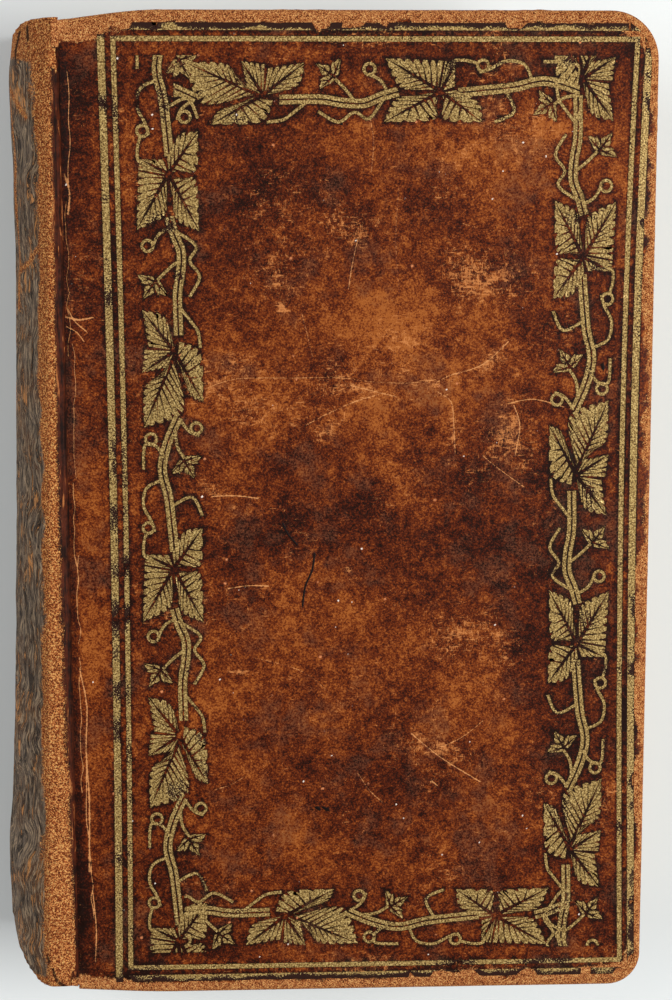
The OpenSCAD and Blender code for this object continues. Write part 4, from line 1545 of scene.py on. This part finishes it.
class Looks:
    """The book's materials."""

    def __init__(self) -> None:
        """Makes every material."""
        self.grit = Shared(grit, ("Place",), ("Value",))
        self.fibres = Shared(fibres, ("Place", "Scale", "Detail", "Dark", "Light"), ("Color", "Height"))
        self.cracked = Shared(cracked_leather, ("Place",), ("Color",))
        self.suede = Shared(suede, ("Place", "Grit", "Width"), ("Color", "Height", "Mask"))
        self.skin = Shared(calf_skin, ("Place", "Grit", "Tone", "Scuff", "Scratch"),
                           ("Color", "Height", "Gloss"))
        polished = Finish(bump=0.7, bump_mm=0.14, specular=0.09)
        gilt = Finish(bump=0.5, bump_mm=0.08, specular=0.15)
        weathered = Finish(bump=0.8, bump_mm=0.25, specular=0.12)
        rough = Finish(0.8, bump=0.5, bump_mm=0.2, specular=0.1)
        self.calf = self.material("calf", polished, self.draw_calf)
        self.calf_edge = self.material("calf_edge", polished, self.draw_edge)
        self.gold = self.material("gilt", gilt, self.draw_gold)
        self.spine = self.material("spine_calf", weathered, self.draw_spine)
        self.joint = self.material("joint_calf", rough, self.draw_joint)
        self.lining = self.material("lining", Finish(), self.draw_board)
        self.thread = self.material("endband_thread", Finish(0.85, bump=0.8, bump_mm=0.3), self.draw_thread)
        self.pasteboard = self.material("pasteboard", Finish(), self.draw_board)
        self.hemp = self.material("hemp", Finish(0.85), self.draw_hemp)
        self.endpaper = self.material("endpaper", Finish(0.85), self.draw_paper)
        self.leaves = self.material("leaves", Finish(), self.draw_leaves)

    def material(self, name: str, finish: Finish,
                 draw: Callable[[Net, Socket], Drawn]) -> Material:
        """Makes one material.

        Args:
            name: Its name.
            finish: Its plain numbers.
            draw: Lays its nodes, and returns its colour, its height and, where it varies, its
                roughness and metal.
        """
        material = bpy.data.materials.new(name)
        material.use_nodes = True
        tree = material.node_tree
        tree.nodes.clear()
        net = Net(tree)
        drawn = draw(net, flat_place(net))
        bump = net.node("Bump", {"Strength": finish.bump, "Distance": finish.bump_mm * MM,
                                 "Height": drawn["Height"]})
        shader = net.node("BsdfPrincipled", {
            "Base Color": drawn["Color"], "Roughness": drawn.get("Roughness", finish.roughness),
            "Metallic": drawn.get("Metallic", 0.0), "Specular IOR Level": finish.specular,
            "Normal": bump.outputs[0]})
        end = tree.nodes.new("ShaderNodeOutputMaterial")
        tree.links.new(shader.outputs[0], end.inputs["Surface"])
        return material

    def attribute(self, net: Net, name: str) -> Socket:
        """Returns a value that a mesh keeps for each point."""
        return net.node("Attribute", {}, attribute_name=name).outputs["Fac"]

    def grain(self, net: Net, place: Socket) -> Socket:
        """Returns the finest grain at a place."""
        return self.grit.on(net, Place=place)["Value"]

    def face(self, net: Net, place: Socket, grain: Socket) -> bpy.types.NodeOutputs:
        """Returns polished calf, worn as the mesh says."""
        worn = {label: self.attribute(net, label.lower()) for label in ("Tone", "Scuff", "Scratch")}
        return self.skin.on(net, Place=place, Grit=grain, **worn)

    def bared(self, net: Net, place: Socket, grain: Socket) -> list[Socket]:
        """Returns the colour, height and mask of suede where the mesh says that it is bare."""
        bare = self.suede.on(net, Place=place, Grit=grain, Width=self.attribute(net, "bare"))
        return [bare[label] for label in ("Color", "Height", "Mask")]

    def draw_calf(self, net: Net, place: Socket) -> Drawn:
        """Lays the covers' leather where its face is whole."""
        skin = self.face(net, place, self.grain(net, place))
        return {"Color": skin["Color"], "Height": skin["Height"], "Roughness": skin["Gloss"]}

    def draw_edge(self, net: Net, place: Socket) -> Drawn:
        """Lays the covers' leather where it is rubbed through to suede."""
        grain = self.grain(net, place)
        skin = self.face(net, place, grain)
        colour, height, mask = self.bared(net, place, grain)
        return {"Color": net.blend(mask, skin["Color"], colour),
                "Height": net.sum(skin["Height"], net.times(net.times(height, mask), 2.6),
                                  net.times(mask, -1.6)),
                "Roughness": net.sum(skin["Gloss"], net.times(mask, 0.4))}

    def draw_spine(self, net: Net, place: Socket) -> Drawn:
        """Lays the back's grey, weathered leather, streaked along its length, with painted glints on its
        bare suede.
        """
        sway = net.noise(place, 0.07, 2.0)
        long = net.stretched(net.moved(place, sway, 9.0), (1.0, 0.1, 1.0))
        streaks = net.noise(long, 1.3, 5.0, 0.75, 0.8)
        fine = net.noise(long, 3.4, 3.0, 0.75)
        patches = net.noise(place, 0.12, 4.0, 0.65)
        glint_and_speck = net.noise(place, 3.2, 2.0, 0.8)
        bare, bare_height, mask = self.bared(net, place, self.grain(net, place))
        inner = net.step(self.attribute(net, "inner"), -1.2, -0.8)
        grey = net.layers(
            srgb(104, 88, 74),
            (net.step(patches, 0.42, 0.6), srgb(84, 58, 41)),
            (net.step(fine, 0.5, 0.58, 0.0, 0.85), srgb(172, 146, 116)),
            (net.step(streaks, 0.48, 0.55, 0.0, 0.9), srgb(30, 21, 16)),
            (net.step(net.sum(streaks, net.times(patches, 0.45)), 0.81, 0.85), srgb(190, 130, 76)),
            (inner, self.cracked.on(net, Place=place)["Color"]))
        tan = net.layers(
            net.blend(1.0, bare, (1.1, 0.89, 0.74, 1.0), "MULTIPLY"),
            # Bright specks on the bare suede are painted glints; the dark ones are specks of the suede
            (net.step(glint_and_speck, 0.54, 0.63, 0.0, 0.9), srgb(240, 182, 108)),
            (net.step(glint_and_speck, 0.49, 0.4, 0.0, 0.9), srgb(92, 38, 14)))
        split = net.step(self.attribute(net, "split"), 0.2, 0.7, 0.0, 0.9)
        height = net.sum(net.times(streaks, -1.6), net.times(fine, 0.8),
                         net.times(net.times(bare_height, mask), 1.6), net.times(mask, -0.5))
        return {"Color": net.layers(grey, (mask, tan), (split, srgb(30, 13, 7))), "Height": height,
                "Roughness": net.sum(0.62, net.times(mask, 0.25))}

    def draw_joint(self, net: Net, place: Socket) -> Drawn:
        """Lays the dark, cracked leather down in the joint."""
        grain = self.grain(net, place)
        bare, height, mask = self.bared(net, place, grain)
        return {"Color": net.blend(mask, self.cracked.on(net, Place=place)["Color"], bare),
                "Height": net.sum(net.times(grain, 0.6), net.times(height, mask))}

    def draw_thread(self, net: Net, place: Socket) -> Drawn:
        """Lays soiled linen thread, wound side by side across the endband, with painted shade between the
        turns.
        """
        turns = net.node("TexWave", {"Vector": place, "Scale": 0.5, "Distortion": 0.4},
                         bands_direction="Z").outputs["Fac"]
        soil = net.noise(place, 0.4, 4.0, 0.7)
        # The colour darkens towards the hollows between the turns: painted shade
        colour = net.layers(net.blend(turns, srgb(112, 84, 52), srgb(206, 184, 142)),
                            (net.step(soil, 0.45, 0.7, 0.0, 0.7), srgb(126, 94, 60)))
        return {"Color": colour, "Height": turns}

    def draw_gold(self, net: Net, place: Socket) -> Drawn:
        """Lays dulled gold leaf, worn through to the leather here and there, with painted glints in its
        grain.
        """
        grain = net.noise(place, 3.3, 3.0, 0.8)
        lost = net.step(net.sum(self.attribute(net, "lost"), net.about(grain, 2.4)), 0.42, 0.52)
        # The brightest specks of the leaf's colour, on the raised grain, are painted glints
        leaf = net.ramp(grain, ((0.36, srgb(218, 188, 124)), (0.45, srgb(174, 144, 86)),
                                (0.54, srgb(126, 97, 52)), (0.62, srgb(58, 40, 22))))
        # Where the leaf is lost, the groove's leather shows nearly black: hot-tool darkening and painted
        # shade in the groove
        return {"Color": net.blend(lost, leaf, srgb(40, 17, 8)), "Height": net.times(grain, -1.0),
                "Metallic": net.math("SUBTRACT", 0.25, net.times(lost, 0.25)),
                "Roughness": net.sum(0.4, net.times(lost, 0.3))}

    def draw_board(self, net: Net, place: Socket) -> Drawn:
        """Lays pasteboard."""
        return self.matted(net, place, 1.2, 5.0, srgb(150, 122, 88), srgb(186, 158, 118))

    def draw_hemp(self, net: Net, place: Socket) -> Drawn:
        """Lays hemp strands."""
        long = net.stretched(place, (0.6, 3.0, 3.0))
        return self.matted(net, long, 1.6, 4.0, srgb(140, 112, 74), srgb(204, 178, 134))

    def matted(self, net: Net, place: Socket, scale: float, detail: float,
               dark: tuple, light: tuple) -> Drawn:
        """Returns fibres of a scale and detail between two colours."""
        laid = self.fibres.on(net, Place=place, Scale=scale, Detail=detail, Dark=dark, Light=light)
        return {"Color": laid["Color"], "Height": laid["Height"]}

    def draw_paper(self, net: Net, place: Socket) -> Drawn:
        """Lays foxed endpaper."""
        fibre = net.noise(place, 1.5, 4.0, 0.6)
        fox = net.step(net.noise(place, 0.16, 5.0, 0.7), 0.6, 0.72, 0.0, 0.6)
        colour = net.layers(srgb(222, 206, 170), (net.step(fibre, 0.4, 0.7), srgb(232, 220, 190)),
                            (fox, srgb(176, 132, 84)))
        return {"Color": colour, "Height": fibre}

    def draw_leaves(self, net: Net, place: Socket) -> Drawn:
        """Lays the edges of many leaves."""
        lines = net.noise(net.stretched(place, (0.05, 0.05, 9.0)), 1.0, 3.0, 0.8)
        stain = net.noise(place, 0.06, 4.0, 0.6)
        colour = net.layers(srgb(206, 184, 142), (net.step(lines, 0.45, 0.62), srgb(150, 122, 84)),
                            (net.step(stain, 0.5, 0.7, 0.0, 0.5), srgb(160, 124, 80)))
        return {"Color": colour, "Height": lines}


# The studio


@dataclass(frozen=True)
class Lamp:
    """A soft square lamp aimed at the book."""

    name: str
    place: Triple
    size: float
    power: float


@dataclass(frozen=True)
class Studio:
    """The floor, the backdrop, the lamps and the photograph's camera."""

    camera_place: Triple = (-0.01274, 0.0560, 0.3843)
    camera_turn: Triple = (-8.52, -2.40, -0.09)
    lens: float = 72.0
    near: float = 0.01
    floor_half: float = 1.1
    floor_colour: tuple[int, int, int] = (222, 226, 226)
    floor_roughness: float = 0.9
    # How strongly the backdrop lights the book, and how much brighter the camera sees it
    light: float = 0.24
    glow: float = 0.58
    lamps: tuple[Lamp, ...] = (
        Lamp("key", (0.85, 0.04, 0.75), 0.5, 14.1),
        Lamp("fill", (-0.8, 0.35, 0.85), 0.9, 7.1),
    )

    def build(self) -> None:
        """Makes everything that isn't the book."""
        self.floor()
        self.backdrop()
        for lamp in self.lamps:
            self.hang(lamp)
        data = bpy.data.cameras.new("camera")
        data.lens = self.lens
        data.clip_start = self.near
        camera = put_in("camera", data)
        camera.location = self.camera_place
        camera.rotation_euler = [math.radians(a) for a in self.camera_turn]
        bpy.context.scene.camera = camera
        bpy.context.scene.view_settings.view_transform = "Standard"

    def floor(self) -> None:
        """Lays the plain pale floor."""
        mesh = bmesh.new()
        bmesh.ops.create_grid(mesh, x_segments=1, y_segments=1, size=self.floor_half)
        data = bpy.data.meshes.new("floor")
        mesh.to_mesh(data)
        mesh.free()
        material = bpy.data.materials.new("floor")
        material.use_nodes = True
        sockets = material.node_tree.nodes["Principled BSDF"].inputs
        sockets["Base Color"].default_value = srgb(*self.floor_colour)
        sockets["Roughness"].default_value = self.floor_roughness
        data.materials.append(material)
        floor = put_in("floor", data)

    def backdrop(self) -> None:
        """Sets a pale backdrop, which lights the book less brightly than it looks."""
        world = bpy.data.worlds.new("studio")
        bpy.context.scene.world = world
        world.use_nodes = True
        background = world.node_tree.nodes["Background"]
        background.inputs["Color"].default_value = (1.0, 1.0, 1.0, 1.0)
        net = Net(world.node_tree)
        seen = net.node("LightPath", {}).outputs["Is Camera Ray"]
        net.put(background.inputs["Strength"], net.sum(self.light, net.times(seen, self.glow)))

    def hang(self, lamp: Lamp) -> None:
        """Hangs one lamp, aimed at the middle of the book."""
        data = bpy.data.lights.new(lamp.name, "AREA")
        data.size = lamp.size
        data.energy = lamp.power
        light = put_in(lamp.name, data)
        light.location = lamp.place
        light.rotation_euler = Vector(lamp.place).to_track_quat("Z", "Y").to_euler()


def joint_cracks(seed: int) -> tuple[Scratch, ...]:
    """Returns the long, jagged cracks that run beside a joint, from the head down."""
    dice = random.Random(seed)
    cracks = []
    y, last_start, end, tooth, drift = 78.0, -74.0, -83.0, 2.2, 1.6
    while y > last_start:
        length = min(dice.uniform(9, 26), y - end)
        x = dice.choice((-44.8, -44.5, -44.1))
        count = round(length / tooth)
        points = tuple((x + dice.uniform(-0.3, 0.3) + drift * smooth(0, -85, y), y - length * k / count)
                       for k in range(count + 1))
        cracks.append(Scratch(points, dice.uniform(0.1, 0.2)))
        y -= length * dice.uniform(0.7, 1.2)
    return tuple(cracks)


def stains(*rows: tuple[float, ...]) -> tuple[Stain, ...]:
    """Makes patches from rows of their numbers."""
    return tuple(Stain(*row) for row in rows)


def scratches(*rows: tuple[float, ...]) -> tuple[Scratch, ...]:
    """Makes scratches from rows of a width, a strength and the points, as X and Y in turn."""
    return tuple(Scratch(tuple(zip(row[2::2], row[3::2])), row[0], row[1]) for row in rows)


FRONT_WEAR = Wear(
    tones_and_crease_shade=stains(
        (21, 27.2, 22, 14, 0.24), (-15, 24, 8, 9, 0.2), (-1, 26, 8, 7, -0.16), (-10, 44, 12, 7, -0.16),
        (7.5, 3.8, 4, 4, -0.3), (26.4, 7.8, 6, 3, -0.22), (7.2, -30, 4, 5, 0.24, 20),
        (16.6, -21.8, 4, 3, 0.2), (1, -11, 10, 7, 0.12), (-18, -38, 3, 12, 0.16),
        (31.8, 61.7, 11, 11, 0.15), (-4, -21.8, 18, 11, 0.14), (24.6, -21.8, 11, 7, 0.14),
        (-42.1, -36.3, 2.8, 32, 0.22), (39, 69, 9, 5.4, 0.18), (-42.3, 8, 2.4, 14, 0.12),
        (-43.5, 74, 5, 10, -0.5), (-42.5, 50, 3.4, 22, -0.22), (-17.4, 61.7, 10.7, 10.9, -0.14),
        (13.9, 54.4, 14.3, 9, -0.08), (-27.2, 36.3, 6, 18, -0.12), (47, 0, 7.2, 60, -0.12),
        (13, -3.6, 30, 6.3, -0.2), (35.4, -18, 7, 11, -0.16), (13.9, -54.4, 32, 14.5, -0.04),
        (42.5, -36.3, 9, 22, -0.1), (13.9, -72.5, 45, 9, -0.14), (13.9, 79.8, 45, 5.4, -0.12),
        # These two darken the joint's crease: painted shade
        (-45.2, -70, 3, 22, -0.5), (-45.2, 0, 1.4, 120, -0.2),
    ),
    scuffs=stains(
        (32.7, 14.5, 9, 7.3, 0.3, 20), (19.3, 30.8, 20, 7, 0.2), (-4, 24.5, 22, 4.5, 0.2),
        (-9.3, 54.4, 9, 16, 0.17), (39, 69, 10, 5.4, 0.26), (30, 59.8, 10.7, 9, 0.18),
        (24.6, -22.7, 10.5, 7, 0.28), (-14, 2, 7, 2.6, 0.26), (-14, -13, 7, 2.2, 0.22),
        (19.3, -43.5, 12, 6.5, 0.2, -35), (-33, 70, 5, 3, 0.16), (51, -60, 3, 12, 0.22),
        (13.9, 84, 46, 2.4, 0.2), (13.9, -84.5, 46, 2.4, 0.22), (-22, 22, 6, 3, 0.22),
        (-30, 14, 4, 3, 0.2), (2.3, 52.6, 3.5, 6, 0.4), (6.4, 49.9, 1.8, 4, 0.35),
        (21.8, 56.8, 4, 3, 0.2), (24.3, 43.2, 4.5, 6, 0.28), (31, 41.7, 5, 5, 0.3),
        (-15.8, 28.1, 4.5, 2.5, 0.3), (-12.9, 19.6, 5, 3, 0.28, 20), (0.7, 15.6, 4, 1.4, 0.4, 35),
        (20.4, 24, 5, 1.3, 0.4, 15), (28.8, 27.2, 4.5, 1.3, 0.4, 42), (22.6, 16, 1, 6, 0.4),
        (32.3, 15.4, 3.5, 5, 0.16), (-20.1, 5.4, 2.5, 1.3, 0.5), (-7.6, 37.4, 0.9, 1, 0.8),
        (-15.1, -28.1, 2, 0.8, 0.7), (-6.6, -29.2, 1.4, 0.6, 0.7, 25), (4.1, -9.6, 0.9, 0.9, 0.8),
        (19.7, -42.6, 5, 1, 0.22), (21, -35, 4, 5, 0.25), (29, -46, 9, 2.6, 0.22, -30),
        (9, 22.4, 6, 1.2, 0.3, -14), (-17, -48.6, 3, 1, 0.4, 25),
    ),
    bares=stains(
        (-43, 86, 5.5, 4, 2.6), (54, 86, 5, 5, 2), (54, -85, 5, 5, 2.2), (-40, -87, 9, 3, 1.2),
        (0, 88, 12, 3, 0.7), (57.5, 40, 3, 10, 0.7), (57.5, -22, 3, 12, 0.8), (28, -88, 12, 4, 1),
        (30, 88, 9, 3, 0.8),
    ),
    scratches=scratches(
        (0.15, 0.85, -21, 23.2, -15.6, 24.9, -6, 25, 2.6, 25, 8, 24.3, 14.6, 24, 19.6, 24.6),
        (0.3, 0.9, 19.9, 24.2, 22.4, 25.4, 26, 26.4, 28.8, 27.8, 32.4, 31.2),
        (0.26, 0.9, 4.6, 23.6, 8.6, 22.6, 12.6, 21.6),
        (0.28, 0.8, -3.4, 16.6, 0.4, 18.6, 5.4, 20.8, 9.6, 22),
        (0.26, 0.85, 20, 22.4, 22.4, 20.6, 22.9, 16.6, 23.2, 11.4),
        (0.2, 0.9, 5.9, 49.6, 4.8, 44.6, 4.2, 40.6), (0.3, 1, -20.1, 4, -16, 4.1, -12, 3.6),
        (0.26, 1, -17.4, -12.7, -13.8, -12.2, -10.2, -12.3),
        (0.24, 1, 33.6, 19.9, 34.7, 16.3, 33.9, 10.9), (0.22, 1, 32.7, 20.3, 37.2, 21, 42.5, 19.6),
        (0.24, 1, 15.7, -39.9, 21, -44.4, 28.2, -49), (0.22, 0.8, 21, -42.4, 24.8, -40.6, 28.6, -37.6),
        (0.26, -1, -1.9, -6.5, -2.4, -9.6, -3.6, -12.4, -4.1, -15.8),
        (0.24, -1, -7.6, -0.9, -6.6, -3, -5, -4.9),
        (0.24, 0.8, -19.7, -49.7, -17.2, -48.9, -14.9, -47.5),
        (0.2, 0.7, -4, 36.3, -2.9, 32, -2.2, 29), (0.18, 0.6, 13, 58, 12.5, 49, 13.2, 39.9),
        (0.18, 0.6, -12.9, -25.4, -4, -28.1, 3.2, -34.5), (0.18, 0.6, 3.2, 21.8, 13.9, 21, 22.9, 22.1),
        (0.22, 0.8, 28.2, 10.9, 31, 8.6, 35.4, 5.4), (0.2, 0.7, 5.9, -47.2, 8, -50.4, 10.3, -52.6),
        (0.34, 1, -45.3, 35.9, -43, 35.4, -40.6, 35.8),
        (0.22, 1, -45.2, 34.2, -43.4, 33.2, -42.2, 31.6), (0.2, 0.7, 8, 70, 8.6, 66, 8.2, 61),
        (0.18, 0.6, 24, 52, 30, 50.6, 36, 51.6), (0.5, -1, -1.7, -53.5, -1.4, -53.6),
        (0.4, -1, -0.4, -53.5, -0.1, -53.7), (0.45, -1, 49.3, 26.9, 49.4, 26.4),
        (0.45, -1, 13.9, 83.8, 14.3, 83.5), (0.4, -1, 2.8, 69.3, 3, 69),
        (0.3, 1, 19.6, -49, 20, -49.3), (0.4, 1, -44.9, 60.2, -44.2, 57.4, -44.5, 53.7),
        (0.24, 1, -44.9, 37.2, -43.6, 35, -41.8, 33.4),
        (0.3, 1, -44.2, -27, -43, -34, -43.3, -42, -42.9, -52, -43.2, -65),
        (0.24, 1, -42.6, -69, -42.1, -76, -42.4, -82)) + joint_cracks(5),
    rubs=stains(
        (9, 86.1, 60, 0.9, 1.1), (9, -86.1, 60, 0.9, 0.8), (-37, 84.4, 2.6, 1.6, 1.2),
        (-35.5, -84.2, 2.6, 1.2, 1.2), (30, -83.8, 16, 1, 0.3), (-31, 74, 3.4, 3, 0.35, 30),
        (-36.8, -5, 2.6, 66, 0.5), (-27, 60, 5, 14, 0.12),
    ),
)

BACK_WEAR = Wear(
    tones_and_crease_shade=stains(
        (10, 20, 30, 26, 0.16, 20), (20, -45, 24, 16, 0.12, -15), (-30, 50, 14, 20, -0.14),
        # The last patch darkens the joint's crease: painted shade
        (30, 62, 20, 10, -0.12), (-45.2, 0, 2, 120, -0.42),
    ),
    scuffs=stains(
        (9, 0, 30, 40, 0.12), (9.3, 84, 46, 2.4, 0.18), (9.3, -84.5, 46, 2.4, 0.18),
        (30, 30, 9, 7, 0.2, 30),
    ),
    bares=stains(
        (54, 86, 5, 5, 2), (54, -85, 5, 5, 2.4), (-43, 86, 4, 3, 1.6), (-43, -86, 4, 3, 1.6),
    ),
    scratches=scratches(
        (0.22, 0.8, -10, 40, 4, 34, 20, 31), (0.22, 0.8, 14, -20, 26, -14, 34, -2),
        (0.2, 0.7, -20, -50, -8, -58, 6, -60)) + joint_cracks(9),
    rubs=stains(
        (9, 86.1, 60, 0.9, 0.9), (9, -86.1, 60, 0.9, 0.9), (10, -10, 50, 30, 0.2, 20),
    ),
    seed=41.0,
)


def main() -> None:
    """Builds the book and the studio, and reports each piece."""
    logging.basicConfig(level=logging.INFO, format="%(message)s")
    sizes = measure()
    looks = Looks()
    Cover(Side.FRONT, sizes, wear=FRONT_WEAR, grid_step=1.1).build(looks)
    Cover(Side.BACK, sizes, wear=BACK_WEAR, grid_step=2.0).build(looks)
    Spine(sizes).build(looks)
    Joints(sizes).build(looks)
    dressed = {"front_flyleaf": looks.endpaper, "back_flyleaf": looks.endpaper,
               "text_block": looks.leaves, "spine_lining": looks.lining, "head_endband": looks.thread,
               **{f"sewing_cord_{number}": looks.hemp for number in range(1, 5)}}
    for node, material in dressed.items():
        dress_node(node, material)
    Studio().build()


if __name__ == "__main__":
    main()
